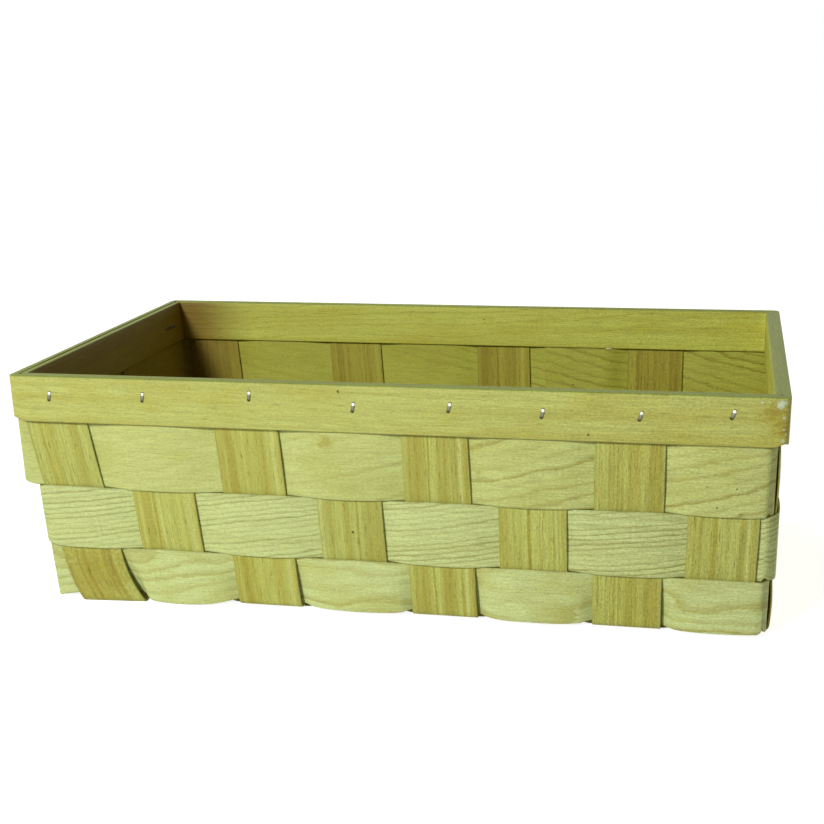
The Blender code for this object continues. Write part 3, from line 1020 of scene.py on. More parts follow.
def split_wood(name, pale, dark, ochre, grain, roughness, marks):
    """Split wood, read from the strip's own coordinates: year rings, streaks, clouds, pores and specks."""
    material, output = new_material(name)
    tree = material.node_tree
    point = WoodPoint(tree)
    late_wood = late_wood_at(point, grain, marks.ring_start)
    pores = smooth_step(tree, point.pattern("dashes"), *pore_levels)
    pores = pores * (early_wood_pores + late_wood * (1 - early_wood_pores))
    specks = smooth_step(tree, point.pattern("speck"), *speck_levels)
    colour = grain_colour(point, late_wood, (*pale, 1), (*dark, 1), (*ochre, 1), grain, marks.bands)
    colour = shaded(point, colour, grain)
    pore_colour = (*(part * pore_tint for part in dark), 1)
    colour = mix_colours(tree, pores * grain.pores, colour, pore_colour)
    colour = mix_colours(tree, specks * speck_share, colour, speck_colour)
    colour = marked(point, colour, marks)

    fibre = point.pattern("fibre")
    relief = late_wood * late_wood_relief + fibre * fibre_relief
    relief = relief + point.pattern("thread") * thread_relief + point.pattern("fuzz") * fuzz_relief
    relief = relief - pores * pore_relief
    bump_sockets = {"Strength": bump_strength, "Distance": bump_height, "Height": relief}
    sockets = {
        "Base Color": colour,
        "Roughness": roughness + (fibre - 0.5) * fibre_roughness,
        "Specular IOR Level": wood_shine,
        "Normal": add_node(tree, "ShaderNodeBump", {}, bump_sockets),
    }
    add_surface(tree, output, sockets)
    return material


# Each front splint's single bands: how far across it (-1 at its left edge), half their width and their
# strength.
splint_bands = {
    1: (
        (-0.93, 0.04, 0.4),
        (-0.55, 0.05, 0.4),
        (-0.3, 0.04, 0.3),
        (0.02, 0.05, 0.3),
        (0.45, 0.22, 0.3),
    ),
    2: (
        (-0.9, 0.04, 0.4),
        (-0.6, 0.18, 0.45),
        (-0.34, 0.04, 0.5),
        (-0.2, 0.06, -0.3),
        (0.75, 0.18, -0.3),
    ),
    3: (
        (-0.89, 0.1, 0.3),
        (-0.6, 0.17, 0.6),
        (-0.3, 0.06, 0.2),
        (0.5, 0.1, 0.35),
        (0.78, 0.08, -0.4),
    ),
    4: (
        (-0.9, 0.07, -0.4),
        (-0.1, 0.08, 0.3),
        (0.2, 0.04, 0.5),
        (0.68, 0.26, 0.35),
    ),
    5: (
        (-0.6, 0.36, 0.5),
        (-0.22, 0.045, 0.8),
        (0.25, 0.28, 0.4),
        (0.6, 0.03, 0.5),
        (0.73, 0.07, -0.5),
        (0.9, 0.07, 0.35),
    ),
    6: (
        (-0.85, 0.12, 0.3),
        (-0.12, 0.06, 0.6),
        (0.2, 0.03, 0.4),
        (0.68, 0.05, -0.45),
        (0.9, 0.08, 0.3),
    ),
    7: (
        (-0.6, 0.03, 0.5),
        (-0.48, 0.03, 0.5),
        (-0.36, 0.03, 0.5),
        (-0.24, 0.03, 0.5),
        (0.1, 0.25, 0.3),
        (0.72, 0.24, 0.5),
    ),
    8: (
        (-0.81, 0.06, 0.45),
        (-0.26, 0.08, 0.65),
        (-0.12, 0.05, -0.3),
        (0.68, 0.06, -0.5),
        (0.9, 0.08, 0.3),
    ),
}
upright_marks = WoodMarks(
    knots=[((-0.1141, -0.1113, 0.0356), 0.0008), ((-0.0168, -0.1120, 0.0470), 0.0009)],
    stains=[((-0.1620, -0.1120, 0.0140), 0.028)],
    bands=splint_bands,
    # Painted shade: the uprights' inner faces are darker and warmer.
    inside=(0.80, 0.70, 0.32),
)
upright_wood = split_wood(
    "upright_splint_wood",
    pale=(0.545, 0.585, 0.15),
    dark=(0.30, 0.265, 0.03),
    ochre=(0.43, 0.385, 0.045),
    grain=Grain(
        spacing=0.0036,
        tilt=0.015,
        heart=0.12,
        depth=0.01,
        slope=0.0,
        wave=0.014,
        rings=0.26,
        late=0.3,
        streaks=0.40,
        clouds=0.12,
        pores=0.80,
        ochre_share=0.45,
    ),
    roughness=0.62,
    marks=upright_marks,
)
splint_edge_radius = 0.0003
upright_section = section_mesh(
    "upright_section", flat_outline(splint_width, shown_thickness, splint_edge_radius)
)


def alternate(number):
    """1 where a splint passes outside or below its neighbour, and -1 where it passes inside or above."""
    return 1 if number % 2 == 0 else -1


for number, place in enumerate(upright_places(front), 1):
    crossings = [spot * pitch_at(right, base_level) for spot in upright_places(right)]
    near_signs = [alternate(number + row) for row in (1, 2, 3)]
    base_signs = [alternate(number + crossing + 1) for crossing in range(1, end_count + 1)]
    far_signs = [alternate(number + row + end_count + 1) for row in (1, 2, 3)]
    drop = first_foot_drop if number == 1 else None
    profile = splint_profile(front, near_signs, base_signs, far_signs, crossings, drop)
    add_strip(
        f"cross_upright_{number}",
        node=f"cross_splint_{number}",
        stations=splint_stations(front, place, profile, number == 1),
        section=upright_section,
        width=splint_width,
        plank=number,
        material=upright_wood,
    )
for number, place in enumerate(upright_places(right), 1):
    crossings = [spot * pitch_at(front, base_level) for spot in upright_places(front)]
    near_signs = [alternate(number + row + 1) for row in (1, 2, 3)]
    base_signs = [alternate(number + crossing) for crossing in range(1, side_count + 1)]
    far_signs = [alternate(number + row + side_count) for row in (1, 2, 3)]
    profile = splint_profile(left, near_signs, base_signs, far_signs, crossings)
    add_strip(
        f"long_upright_{number}",
        node=f"long_splint_{number}",
        stations=splint_stations(left, place, profile),
        section=upright_section,
        width=splint_width,
        plank=side_count + number,
        material=upright_wood,
    )

bpy.data.objects.remove(upright_section)

# The woven rows
# Three longer strips of the same wood, woven round the walls. Each is sprung outwards where it passes
# over an upright and tucked in behind the next, and its ends lap inside the back wall.

row_gap = 0.0005
row_plank_shift = 20
tuck_fade = 12
droop_end_pitches = -1.7
bottom_edge_height = 0.0028
bottom_edge_lift = 0.0012
bottom_edge_tuck = 0.003
bottom_edge_droop = 0.0018
lap_inset = 0.003
lap_tail = 0.004
lap_step = splint_thickness + splint_gap
weaver_corner_radius = 0.0022
crossing_steps = 12
gap_steps = 8
arc_steps = 10
crossing_turn = math.radians(60)
outside_wave = (0.002133, -0.000133)
inside_wave = (0.001767, -0.000317)
low_edge_swell = 0.0005
high_edge_swell = 0.0009


def wall_point(wall, height, along, offset):
    """A point this far along a wall from its middle, and this far out of the uprights' middle."""
    along_direction, outward = wall_directions(wall)
    point = along_direction * along + outward * (halves_at(wall, height)[1] + offset)
    point.z = height
    return point


def arc_point(wall, height, angle, radius, grow, offset):
    """A point of the rounded corner after this wall. The outline is the wall's, moved out by grow."""
    along_direction, outward = wall_directions(wall)
    half, distance = halves_at(wall, height)
    centre = along_direction * (half + grow - radius) + outward * (distance + grow - radius)
    point = centre + (outward * math.cos(angle) + along_direction * math.sin(angle)) * (radius + offset)
    point.z = height
    return point


def wave(sign, turn):
    """How far out a row lies. Turn is 0 at the upright that it leaves and pi at the next one."""
    current = sign if turn < math.pi / 2 else -sign
    first, third = outside_wave if current > 0 else inside_wave
    return sign * (first * math.cos(turn) + third * math.cos(3 * turn))


class RowPlace:
    """A place in a row: on a wall or in the corner after it, with the row's distance out and its lap.

    Pitches and shift are measured along the wall from its middle, and corner is a share of the way to its
    end. Angle is set only in a corner's arc. Push, lean and layer are shares of the corner's push, of the
    first upright's lean and of the lap's step inwards.
    """

    def __init__(self, wall, pitches, shift, corner, angle, offset, push=0.0, lean=0.0, layer=0.0):
        self.wall = wall
        self.pitches = pitches
        self.shift = shift
        self.corner = corner
        self.angle = angle
        self.offset = offset
        self.push = push
        self.lean = lean
        self.layer = layer

    def point(self, height, offset, push):
        """The push moves a corner out past its end wall, so that the strip stays flat on the other wall."""
        if self.angle is not None:
            point = arc_point(self.wall, height, self.angle, weaver_corner_radius, 0, offset)
        else:
            end = halves_at(self.wall, height)[0] - weaver_corner_radius
            along = self.pitches * pitch_at(self.wall, height) + self.shift + self.corner * end
            point = wall_point(self.wall, height, along + self.lean * lean_at(height), offset)
        end_side = math.copysign(1, point.x)
        return point + Vector((end_side * push * self.push, 0, 0))


def row_places(first_sign):
    """The row's places, once round the basket against the clock from the front's left upright."""
    places = []
    sign = first_sign
    half = splint_width / 2
    gap_turn = math.pi - 2 * crossing_turn
    for wall in (front, right, back, left):
        spots = upright_places(wall)
        for number, spot in enumerate(spots):
            for step in range(crossing_steps):
                share = step / crossing_steps
                turned = abs(blend(-crossing_turn, crossing_turn, share))
                shift = blend(-half, half, share)
                lean = 1.0 if wall == front and number == 0 else 0.0
                places.append(RowPlace(wall, spot, shift, 0, None, wave(sign, turned), lean=lean))
            if number + 1 == len(spots):
                break
            for step in range(gap_steps):
                share = step / gap_steps
                pitches = blend(spot, spots[number + 1], share)
                shift = blend(half, -half, share)
                turned = crossing_turn + gap_turn * share
                leaning = lean * (1 - share)
                places.append(RowPlace(wall, pitches, shift, 0, None, wave(sign, turned), lean=leaning))
            sign = -sign
        following = upright_places((wall + 1) % 4)[0]
        route = []
        for step in range(gap_steps):
            share = step / gap_steps
            route.append((wall, spots[-1] * (1 - share), half * (1 - share), share, None))
        for step in range(arc_steps + 1):
            route.append((wall, 0, 0, 0, math.pi / 2 * step / arc_steps))
        for step in range(1, gap_steps):
            share = step / gap_steps
            route.append(((wall + 1) % 4, following * share, -half * share, share - 1, None))
        for step, (on_wall, pitches, shift, corner, angle) in enumerate(route):
            share = step / len(route)
            turned = crossing_turn + gap_turn * share
            push = ease(2 * min(share, 1 - share))
            lean = 1 + corner if wall == left and on_wall == front and angle is None else 0.0
            places.append(RowPlace(on_wall, pitches, shift, corner, angle, wave(sign, turned), push, lean))
        sign = -sign
    return places


def lapped_places(first_sign, lap_number):
    """The row's places, opened behind an upright of the back wall, where its tail lies inside its head."""
    places = row_places(first_sign)
    spot = upright_places(back)[lap_number - 1]
    numbers = [n for n, place in enumerate(places) if place.wall == back and place.pitches == spot]
    start = numbers[0]
    behind = places[start : start + crossing_steps]
    head = [place for place in behind if place.shift >= lap_inset - splint_width / 2]
    rest = places[start + crossing_steps :] + places[:start]
    for step in range(gap_steps):
        place = rest[step - gap_steps]
        place.layer = ease(step / gap_steps)
    tail = [RowPlace(back, spot, place.shift, 0, None, place.offset, layer=1) for place in behind]
    last = behind[-1]
    tail.append(RowPlace(back, spot, splint_width / 2 + lap_tail, 0, None, last.offset, layer=1))
    return head + rest + tail


def turned_out(stations):
    """Sets every station's outward side square to the strip's run and to its width."""
    middles = [(station.low + station.high) / 2 for station in stations]
    for number, station in enumerate(stations):
        before = middles[max(0, number - 1)]
        after = middles[min(len(middles) - 1, number + 1)]
        station.out = (after - before).cross(station.high - station.low).normalized()
    return stations


def row_stations(places, low, high, high_swell, tuck, corner_pushes):
    """A row's stations. Its upper edge swells over an upright, and its lower edge tucks in behind one."""
    stations = []
    for place in places:
        corner = place.wall if place.corner > 0 or place.angle is not None else (place.wall - 1) % 4
        low_push, high_push, corner_lift = corner_pushes[corner]
        offset = place.offset - lap_step * place.layer
        swell = max(0.0, place.offset / sum(outside_wave))
        pulled = tuck * max(0.0, -place.offset / sum(inside_wave))
        pulled *= max(0.0, 1 - tuck_fade * place.push)
        low_height = low - low_edge_swell * swell + bottom_edge_lift * (pulled / bottom_edge_tuck)
        low_height += corner_lift * (max(0.0, 2 * place.push - 1) ** 2 if corner_lift > 0 else place.push)
        if tuck and place.wall == front and place.push == 0 and place.pitches < droop_end_pitches:
            low_height -= bottom_edge_droop * swell
        low_point = place.point(low_height, offset - pulled, low_push)
        high_point = place.point(high + high_swell * swell, offset, high_push)
        stations.append(Station(low_point, high_point, Vector((0, 0, 1))))
    return turned_out(stations)


# Each row's node, whether it passes outside (1) or inside (-1) the first upright, behind which upright of
# the back wall its ends lap, its lower and upper edge, how far the upper one swells over an upright, and how
# far the lower one tucks in behind one.
rows = (
    ("top_weaver", -1, 3, middle_joint_height, rim_bottom - row_gap / 2, 0.0, 0.0),
    ("middle_weaver", 1, 2, lower_joint_height, middle_joint_height, high_edge_swell, 0.0),
    ("bottom_weaver", -1, 3, bottom_edge_height, lower_joint_height, high_edge_swell, bottom_edge_tuck),
)
# How far each row stands out past the end walls, at the corners after the front, the right, the back
# and the left wall: at its lower edge and at its upper edge, and how far its lower edge rises there, or
# comes down where the value is below 0.
row_corner_pushes = (
    ((-0.0032, -0.0025, 0.002), (0.001, 0.0, 0.001), (0.002, 0.001, 0.002), (0.0092, 0.0060, 0.0024)),
    ((-0.0032, -0.0030, 0.002), (0.001, 0.0, 0.002), (0.001, 0.001, 0.001), (0.0030, 0.0014, 0.0024)),
    ((-0.0032, -0.003, 0.0024), (0.0, 0.0, 0.001), (0.001, 0.001, 0.002), (0.0024, 0.0014, -0.0022)),
)
# Painted shade: the rows' inner faces are darker and warmer.
row_inside_painted_shade = (0.80, 0.75, 0.30)
top_row_marks = WoodMarks(
    knots=[
        ((-0.0983, -0.1157, 0.0862), 0.0007),
        ((-0.0844, -0.1149, 0.0741), 0.0007),
        ((0.0480, -0.1150, 0.0815), 0.0013),
        ((0.1618, -0.1153, 0.0803), 0.0006),
        ((0.1761, -0.1153, 0.0799), 0.0006),
        ((0.1669, -0.1146, 0.0697), 0.0007),
    ],
    stains=[((-0.0289, -0.1163, 0.0960), 0.0050), ((0.0495, -0.1150, 0.0815), 0.0030)],
    ring_start=(-0.06, 0.10, 0.22),
    inside=row_inside_painted_shade,
)
top_row_wood = split_wood(
    "top_row_wood",
    pale=(0.61, 0.675, 0.235),
    dark=(0.32, 0.27, 0.03),
    ochre=(0.50, 0.50, 0.11),
    grain=Grain(
        spacing=0.0058,
        tilt=-0.23,
        heart=0.20,
        depth=0.02,
        slope=0.0,
        wave=0.018,
        rings=0.88,
        late=0.50,
        streaks=0.10,
        clouds=0.45,
        pores=0.40,
        ochre_share=0.20,
    ),
    roughness=0.60,
    marks=top_row_marks,
)
middle_row_wood = split_wood(
    "middle_row_wood",
    pale=(0.66, 0.75, 0.31),
    dark=(0.26, 0.25, 0.04),
    ochre=(0.54, 0.56, 0.17),
    grain=Grain(
        spacing=0.0027,
        tilt=-0.13,
        heart=0.30,
        depth=0.02,
        slope=0.0,
        wave=0.022,
        rings=0.84,
        late=0.42,
        streaks=0.18,
        clouds=0.12,
        pores=0.50,
        ochre_share=0.20,
    ),
    roughness=0.60,
    marks=WoodMarks(knots=[((0.0545, -0.1131, 0.0458), 0.0008)], inside=row_inside_painted_shade),
)
bottom_row_wood = split_wood(
    "bottom_row_wood",
    pale=(0.67, 0.77, 0.33),
    dark=(0.39, 0.35, 0.05),
    ochre=(0.50, 0.50, 0.11),
    grain=Grain(
        spacing=0.0062,
        tilt=-0.06,
        heart=0.004,
        depth=0.028,
        slope=0.045,
        wave=0.042,
        rings=0.72,
        late=0.26,
        streaks=0.10,
        clouds=0.50,
        pores=0.35,
        ochre_share=0.20,
    ),
    roughness=0.60,
    marks=WoodMarks(inside=row_inside_painted_shade),
)
row_woods = (top_row_wood, middle_row_wood, bottom_row_wood)
for number, (row, corner_pushes) in enumerate(zip(rows, row_corner_pushes), 1):
    node, first_sign, lap_number, low, high, high_swell, tuck = row
    width = high - low - row_gap
    stations = row_stations(
        lapped_places(first_sign, lap_number),
        low + row_gap / 2,
        high - row_gap / 2,
        high_swell,
        tuck,
        corner_pushes,
    )
    section = section_mesh(node + "_section", flat_outline(width, shown_thickness, splint_edge_radius))
    add_strip(
        f"woven_row_{number}",
        node=node,
        stations=stations,
        section=section,
        width=width,
        plank=row_plank_shift + number,
        material=row_woods[number - 1],
    )
    bpy.data.objects.remove(section)

# The rim
# Two bent boards of planed wood hold the uprights' tops between them. The outer one's ends meet in a
# scarf joint in the middle of the back, and the inner one's ends butt in the back left corner.

rim_height = basket_height - rim_bottom
outer_rim_radius = 0.0036
inner_rim_radius = 0.0036
scarf_length = 0.012
rim_edge_radius = 0.0007
rim_top_drop = 0.0003
rim_bottom_reach = 0.0003
inner_rim_extra_drop = 0.00006
rim_corner_lift = 0.0026
rim_corner_reach = 0.008
first_corner_push = 0.0024
first_corner_reach = 0.05
lip_height = 0.0022
lip_overlap = 0.00004
lip_edge_radius = 0.00008
rim_arc_steps = 12
rim_straight_steps = 60
thinnest_share = 0.04
board_step = 0.0012
board_ripple = 0.00012
board_wander = 0.0001
first_board_plank = 31
outer_offset = splint_thickness / 2 + splint_gap + outer_rim_thickness / 2
inner_offset = -(splint_thickness / 2 + splint_gap + inner_rim_thickness / 2)


def band_stations(walls, offset, radius, start, end):
    """A band's stations round the corners after these walls. Start and end are shifts along a wall.

    The outer band's lower edge is rounded off at the corners, and stands out at the front left one.
    """
    stations = []
    half_length, half_depth = (half + offset for half in halves_at(front, rim_bottom))

    def station(point):
        low = point(rim_bottom - rim_bottom_reach)
        if offset > 0:
            nearness = 1 - math.hypot(half_length - abs(low.x), half_depth - abs(low.y)) / rim_corner_reach
            low.z += rim_corner_lift * max(0.0, nearness) ** 2
            nearness = 1 - math.hypot(half_length + low.x, half_depth + low.y) / first_corner_reach
            low.x -= first_corner_push * ease(max(0.0, nearness))
        top = basket_height - rim_top_drop - (inner_rim_extra_drop if offset < 0 else 0.0)
        stations.append(Station(low, point(top), Vector((0, 0, 1))))

    def straight(wall, first, last):
        for step in range(rim_straight_steps + 1):
            share = ease(step / rim_straight_steps)

            def place_at(height):
                return wall_point(wall, height, blend(first(height), last(height), share), offset)

            station(place_at)

    def corner_reach(wall, height):
        return halves_at(wall, height)[0] + offset - radius

    for wall in walls:
        first = start if wall == walls[0] else (lambda height: -corner_reach(wall, height))
        straight(wall, first, lambda height: corner_reach(wall, height))
        for step in range(1, rim_arc_steps):
            angle = math.pi / 2 * step / rim_arc_steps
            station(lambda height: arc_point(wall, height, angle, radius, offset, 0))
    last_wall = (walls[-1] + 1) % 4
    straight(last_wall, lambda height: -corner_reach(last_wall, height), end)
    return turned_out(stations)


def taper(stations, length, thickness, side):
    """Thins the strip's end over this length and keeps the face on this side where it was."""
    travelled = 0.0
    before = stations[0]
    for station in stations:
        travelled += (station.low - before.low).length
        before = station
        if travelled > length:
            break
        share = max(thinnest_share, travelled / length)
        shift = station.out * (side * thickness * (1 - share) / 2)
        station.low = station.low + shift
        station.high = station.high + shift
        station.thickness_share = share


def lipped_outline(thickness, lip_side, lip_depth):
    """A board's section with a lip along the top that reaches over the uprights' ends."""
    half = rim_height / 2
    near = lip_side * thickness / 2
    lip = near + lip_side * lip_depth
    return [
        (-half, -near, rim_edge_radius),
        (half, -near, rim_edge_radius),
        (half, lip, lip_edge_radius),
        (half - lip_height, lip, lip_edge_radius),
        (half - lip_height, near, lip_edge_radius),
        (-half, near, rim_edge_radius),
    ]


rim_chips = [
    ((0.1950, -0.1198, 0.1234), 0.0024),
    ((0.1970, -0.1190, 0.1243), 0.0016),
    ((0.1967, -0.1194, 0.1169), 0.0009),
    ((0.1969, -0.1190, 0.1110), 0.0008),
    ((0.1967, -0.1186, 0.1055), 0.0012),
    ((0.1975, -0.1180, 0.1085), 0.0007),
    ((0.1861, -0.1199, 0.1242), 0.0008),
    ((0.1899, -0.1199, 0.1243), 0.0006),
    ((0.1754, -0.1184, 0.1008), 0.0008),
    ((0.1800, -0.1184, 0.1008), 0.0007),
]
rim_marks = WoodMarks(
    knots=[
        ((-0.0203, -0.1198, 0.1231), 0.0009),
        ((0.1045, -0.1186, 0.1051), 0.0010),
        # The last seven are no knots: they make a dark dash round the inner staple at the left end.
        ((-0.1906, 0.0825, 0.1134), 0.0015),
        ((-0.1906, 0.0850, 0.1134), 0.0017),
        ((-0.1906, 0.0875, 0.1133), 0.0017),
        ((-0.1906, 0.0900, 0.1133), 0.0017),
        ((-0.1906, 0.0925, 0.1132), 0.0017),
        ((-0.1906, 0.0950, 0.1131), 0.0017),
        ((-0.1906, 0.0975, 0.1130), 0.0014),
    ],
    chips=rim_chips,
    stains=[((0.1927, -0.1195, 0.1197), 0.0075), ((0.1960, -0.1190, 0.1120), 0.0060)],
    # Painted light and shade: the inner face is lighter and less blue, and the top edge darker and greener.
    inside=(1.10, 1.10, 0.68),
    top=(0.72, 0.85, 0.42),
)
rim_wood = split_wood(
    "rim_band_wood",
    pale=(0.56, 0.595, 0.165),
    dark=(0.35, 0.32, 0.045),
    ochre=(0.46, 0.42, 0.06),
    grain=Grain(
        spacing=0.0034,
        tilt=0.04,
        heart=0.10,
        depth=0.02,
        slope=0.0,
        wave=0.020,
        rings=0.42,
        late=0.5,
        streaks=0.24,
        clouds=0.50,
        pores=0.60,
        ochre_share=0.50,
    ),
    roughness=0.50,
    marks=rim_marks,
)
lip_depth = splint_thickness / 2 + splint_gap + lip_overlap
outer_stations = band_stations(
    (back, left, front, right),
    outer_offset,
    outer_rim_radius - outer_rim_thickness / 2,
    lambda height: -scarf_length / 2,
    lambda height: scarf_length / 2,
)
outer_section = section_mesh("outer_rim_section", lipped_outline(outer_rim_thickness, -1, lip_depth))
taper(outer_stations, scarf_length, outer_rim_thickness, -1)
outer_stations.reverse()
taper(outer_stations, scarf_length, outer_rim_thickness, 1)
outer_stations.reverse()
inner_face = inner_offset - inner_rim_thickness / 2
inner_stations = band_stations(
    (left, front, right),
    inner_offset,
    inner_rim_radius - inner_rim_thickness / 2,
    lambda height: -(halves_at(left, height)[0] + inner_face - splint_gap),
    lambda height: halves_at(back, height)[0] - splint_gap - splint_thickness / 2,
)
inner_section = section_mesh("inner_rim_section", lipped_outline(inner_rim_thickness, 1, lip_depth))
boards = (
    ("outer_rim_band", outer_stations, outer_section),
    ("inner_rim_band", inner_stations, inner_section),
)
for number, (node, stations, section) in enumerate(boards):
    add_strip(
        node.replace("band", "board"),
        node=node,
        stations=stations,
        section=section,
        width=rim_height,
        plank=first_board_plank + number,
        material=rim_wood,
        step=board_step,
        ripple=board_ripple,
        wander=board_wander,
    )
    bpy.data.objects.remove(section)

# The staples
# One bent steel wire at each upright, driven through both rim boards. The crowns stand a little proud
# of the wood, and a dark disc of painted shade lies round each point where the wire enters it.

staple_width = 0.0054
staple_wire = 0.0012
staple_leg = 0.0068
staple_bend = 0.0005
crown_height = 0.00015
crown_bow = 0.00012
leg_shade_size = 0.0008
staple_names = {front: "front", right: "right", back: "back", left: "left"}
front_staple_drop_shares = (0.44, 0.40, 0.30, 0.47, 0.41, 0.47, 0.46, 0.37)
front_staple_shift_shares = (-0.14, -0.01, 0.16, 0.23, 0.27, 0.18, 0.14, 0.03)
front_staple_tilts = [math.radians(tilt) for tilt in (14, 12, 10, 14, 18, 16, 22, 24)]
other_staple_drop_share = 0.42
other_staple_tilt = math.radians(15)
inner_staple_drop_share = 0.54
inner_staple_tilt = math.radians(84)


def staple_frame(wall, pitches, shift, drop_share, tilt, from_inside):
    """A frame on the face of the rim: X along the crown, Y along the wire's width, Z out of the wood."""
    height = basket_height - rim_height * drop_share
    face = inner_offset - inner_rim_thickness / 2 if from_inside else wall_to_outside
    along = pitches * pitch_at(wall, height) + shift
    levels = (rim_bottom, height, basket_height)
    low, centre, high = (shifted(wall_point(wall, level, along, face)) for level in levels)
    up = (high - low).normalized()
    out = wall_directions(wall)[0].cross(up).normalized()
    if from_inside:
        out = -out
    crown = up * math.cos(tilt) + up.cross(out) * math.sin(tilt)
    return Matrix.Translation(centre) @ Matrix((crown, out.cross(crown), out)).transposed().to_4x4()


def staple_frames():
    """(node, frame) of every staple, counted round each wall against the clock."""
    frames = []
    for wall, side in staple_names.items():
        for number, pitches in enumerate(upright_places(wall)):
            shift, drop, tilt, inside = 0, other_staple_drop_share, other_staple_tilt, False
            if wall == front:
                shift = splint_width * front_staple_shift_shares[number]
                drop = front_staple_drop_shares[number]
                tilt = front_staple_tilts[number]
            if wall == left and number == 0:
                drop, tilt, inside = inner_staple_drop_share, inner_staple_tilt, True
            matrix = staple_frame(wall, pitches, shift, drop, tilt, inside)
            frames.append((f"{side}_staple_{number + 1}", matrix))
    return frames


# The wire is pressed flat, so it is wider across the rim's face than it is high.
wire_flatness = 1.45
wire_sides = 14
bend_sides = 6
leg_shade_flatness = 0.8
leg_shade_sides = 20
leg_shade_depth = 0.00012


def bent_wire(tree, given):
    """The wire along its line, round in section and with filleted bends."""
    line = add_node(tree, "GeometryNodeObjectInfo", {}, {"Object": given.output("Wire Line")})
    line = add_node(tree, "GeometryNodeMeshToCurve", {}, {"Mesh": line.output("Geometry")})
    bends = {"Curve": line, "Count": bend_sides, "Radius": given.output("Bend")}
    line = add_node(tree, "GeometryNodeFilletCurve", {"mode": "POLY"}, bends)
    circle = {"Resolution": wire_sides, "Radius": given.output("Wire") * 0.5}
    profile = add_node(tree, "GeometryNodeCurvePrimitiveCircle", {}, circle)
    place = add_node(tree, "GeometryNodeInputPosition")
    along = add_node(tree, "ShaderNodeSeparateXYZ", {}, {"Vector": place}).output("X")
    sweep = {"Curve": line, "Profile Curve": profile, "Fill Caps": True}
    wire = add_node(tree, "GeometryNodeCurveToMesh", {}, sweep)
    wire = store_attribute(tree, wire, "crown", "FLOAT", "POINT", along / given.output("Hole Reach"))
    wire = add_node(tree, "GeometryNodeSetShadeSmooth", {}, {0: wire})
    return set_material(tree, wire, given.output("Steel"))


def leg_shade_discs(tree, given):
    """A thin dark disc of painted shade on the rim's face round each of the two legs."""
    reach = given.output("Hole Reach")
    depth = given.output("Hole Depth")
    start = add_node(tree, "ShaderNodeCombineXYZ", {}, {"X": reach * -1.0, "Z": depth * 0.5})
    end = add_node(tree, "ShaderNodeCombineXYZ", {}, {"X": reach, "Z": depth * 0.5})
    line = {"Count": 2, "Start Location": start, "Offset": end}
    legs = add_node(tree, "GeometryNodeMeshLine", {"mode": "END_POINTS"}, line)
    round_disc = {"Vertices": leg_shade_sides, "Radius": given.output("Hole Size"), "Depth": depth}
    disc = add_node(tree, "GeometryNodeMeshCylinder", {}, round_disc)
    copies = {"Points": legs, "Instance": disc, "Scale": (1.0, leg_shade_flatness, 1.0)}
    shade_discs = add_node(tree, "GeometryNodeInstanceOnPoints", {}, copies)
    shade_discs = add_node(tree, "GeometryNodeRealizeInstances", {}, {"Geometry": shade_discs})
    return set_material(tree, shade_discs, given.output("Leg Shade"))


def add_staple_tree():
    """Bends a wire along its line, puts a dark disc of painted shade at each leg, and sets the staple on its
    point.
    """
    inputs = {
        "Geometry": "Geometry",
        "Wire Line": "Object",
        "Wire": "Float",
        "Bend": "Float",
        "Hole Size": "Float",
        "Hole Reach": "Float",
        "Hole Depth": "Float",
        "Turn": "Vector",
        "Steel": "Material",
        "Leg Shade": "Material",
    }
    tree, given, output = geometry_tree("wire_staple", inputs)
    staple = add_node(tree, "GeometryNodeJoinGeometry")
    for part in (bent_wire(tree, given), leg_shade_discs(tree, given)):
        tree.links.new(part.socket, staple.node.inputs["Geometry"])
    turn = add_node(tree, "FunctionNodeEulerToRotation", {}, {"Euler": given.output("Turn")})
    copies = {"Points": given, "Instance": staple, "Rotation": turn, "Scale": (1.0, wire_flatness, 1.0)}
    placed = add_node(tree, "GeometryNodeInstanceOnPoints", {}, copies)
    placed = add_node(tree, "GeometryNodeRealizeInstances", {}, {"Geometry": placed})
    tree.links.new(placed.socket, output.inputs["Geometry"])
    return tree


# Painted light on the wire: a highlight at its upper end, shade at its lower one, and between them a greenish
# colour that partly stands in for the surroundings it reflects.
painted_highlight_steel = (0.80, 0.82, 0.74, 1)
reflection_tinted_steel = (0.20, 0.21, 0.14, 1)
painted_shade_steel = (0.06, 0.06, 0.035, 1)
spotted_steel = (0.14, 0.14, 0.09, 1)
# The near-black colour of the inner staple's wire.
blackened_colour = (0.016, 0.011, 0.005, 1)
steel_noise = {"Scale": 900.0, "Detail": 3.0}
# Where the painted shade at the lower end and the painted highlight at the upper end come in.
low_end_shade_levels = (-0.9, -0.35)
low_end_shade_raggedness = 0.5
low_end_shade_share = 0.85
high_end_highlight_levels = (0.35, 0.75)
high_end_highlight_raggedness = 0.4
spot_levels = (0.5, 0.75)
spot_share = 0.4
steel_roughness = 0.30
spot_roughness = 0.25
blackened_roughness = 0.3


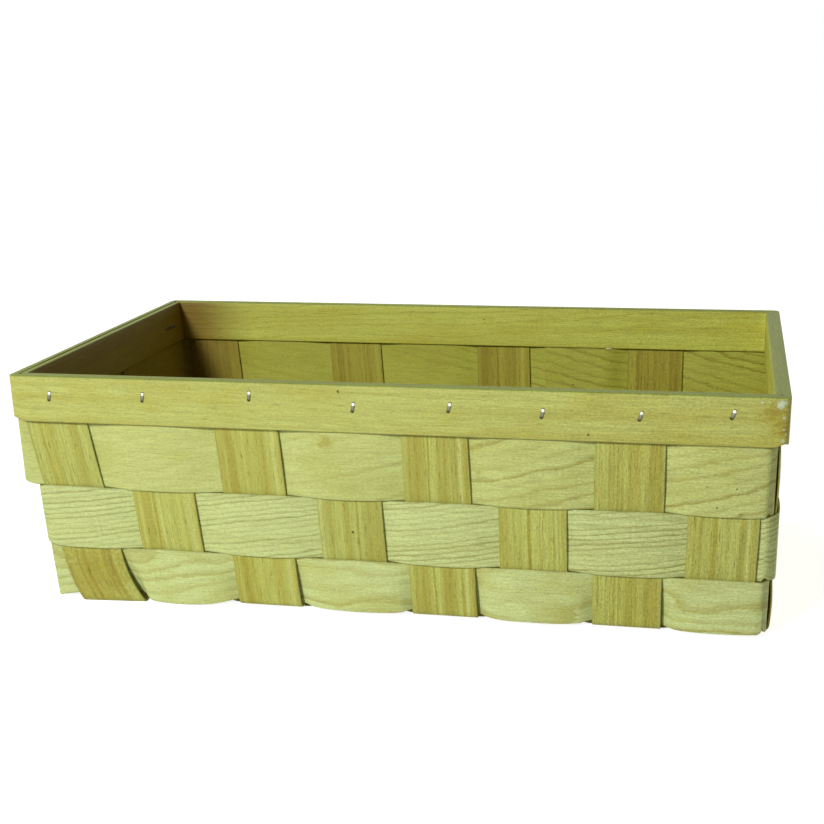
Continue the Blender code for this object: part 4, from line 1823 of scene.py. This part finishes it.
def painted_light_steel(name, blackening):
    """Steel wire: painted highlight at the upper end, painted shade at the lower one, or near-black and dull
    all over where the last argument is 1.
    """
    material, output = new_material(name)
    tree = material.node_tree
    crown = attribute_at(tree, "crown")
    stain = add_node(tree, "ShaderNodeTexNoise", {}, {"Vector": object_place(tree), **steel_noise})
    low_end_shade = 1 - smooth_step(tree, crown + (stain - 0.5) * low_end_shade_raggedness, *low_end_shade_levels)
    high_end_highlight = smooth_step(tree, crown + (stain - 0.5) * high_end_highlight_raggedness, *high_end_highlight_levels)
    spots = smooth_step(tree, stain, *spot_levels)
    colour = mix_colours(tree, high_end_highlight, reflection_tinted_steel, painted_highlight_steel)
    colour = mix_colours(tree, low_end_shade * low_end_shade_share, colour, painted_shade_steel)
    colour = mix_colours(tree, spots * spot_share, colour, spotted_steel)
    colour = mix_colours(tree, blackening, colour, blackened_colour)
    roughness = steel_roughness + stain * spot_roughness + blackening * blackened_roughness
    add_surface(tree, output, {"Base Color": colour, "Metallic": 1.0 - blackening, "Roughness": roughness})
    return material


# Painted shade: the dark discs round the wire's legs.
leg_shade_colour = (0.10, 0.075, 0.012, 1)
leg_shade_roughness = 0.9


def painted_leg_shade():
    """The painted shade on the wood round a wire's leg."""
    material, output = new_material("staple_hole")
    sockets = {"Base Color": leg_shade_colour, "Roughness": leg_shade_roughness, "Specular IOR Level": dull_shine}
    add_surface(material.node_tree, output, sockets)
    return material


def wire_line():
    """The staple's middle line: down into the wood, along the slightly bowed crown, and down again."""
    half = (staple_width - staple_wire) / 2
    points = [(-half, 0, -staple_leg), (-half, 0, crown_height), (0, 0, crown_height + crown_bow)]
    points += [(half, 0, crown_height), (half, 0, -staple_leg)]
    mesh = bpy.data.meshes.new("wire_line")
    mesh.from_pydata(points, [(number, number + 1) for number in range(len(points) - 1)], [])
    return new_object("wire_line", mesh)


staple_tree = add_staple_tree()
staple_line = wire_line()
steel = painted_light_steel("worn_steel_wire", 0.0)
blackened_steel = painted_light_steel("blackened_steel_wire", 1.0)
leg_shade_material = painted_leg_shade()
for node, frame_matrix in staple_frames():
    point = bpy.data.meshes.new(node + "_point")
    point.from_pydata([frame_matrix.translation], [], [])
    holder = new_object(node + "_holder", point)
    modifier = holder.modifiers.new("staple", "NODES")
    modifier.node_group = staple_tree
    values = {
        "Wire Line": staple_line,
        "Wire": staple_wire,
        "Bend": staple_bend,
        "Hole Size": leg_shade_size,
        "Hole Reach": (staple_width - staple_wire) / 2,
        "Hole Depth": leg_shade_depth,
        "Turn": tuple(frame_matrix.to_euler()),
        "Steel": blackened_steel if node == "left_staple_1" else steel,
        "Leg Shade": leg_shade_material,
    }
    set_inputs(modifier, values)
    mesh = finished_mesh(holder, ())
    bpy.data.objects.remove(holder)
    add_piece(node + "_wire", mesh, [node])
bpy.data.objects.remove(staple_line)
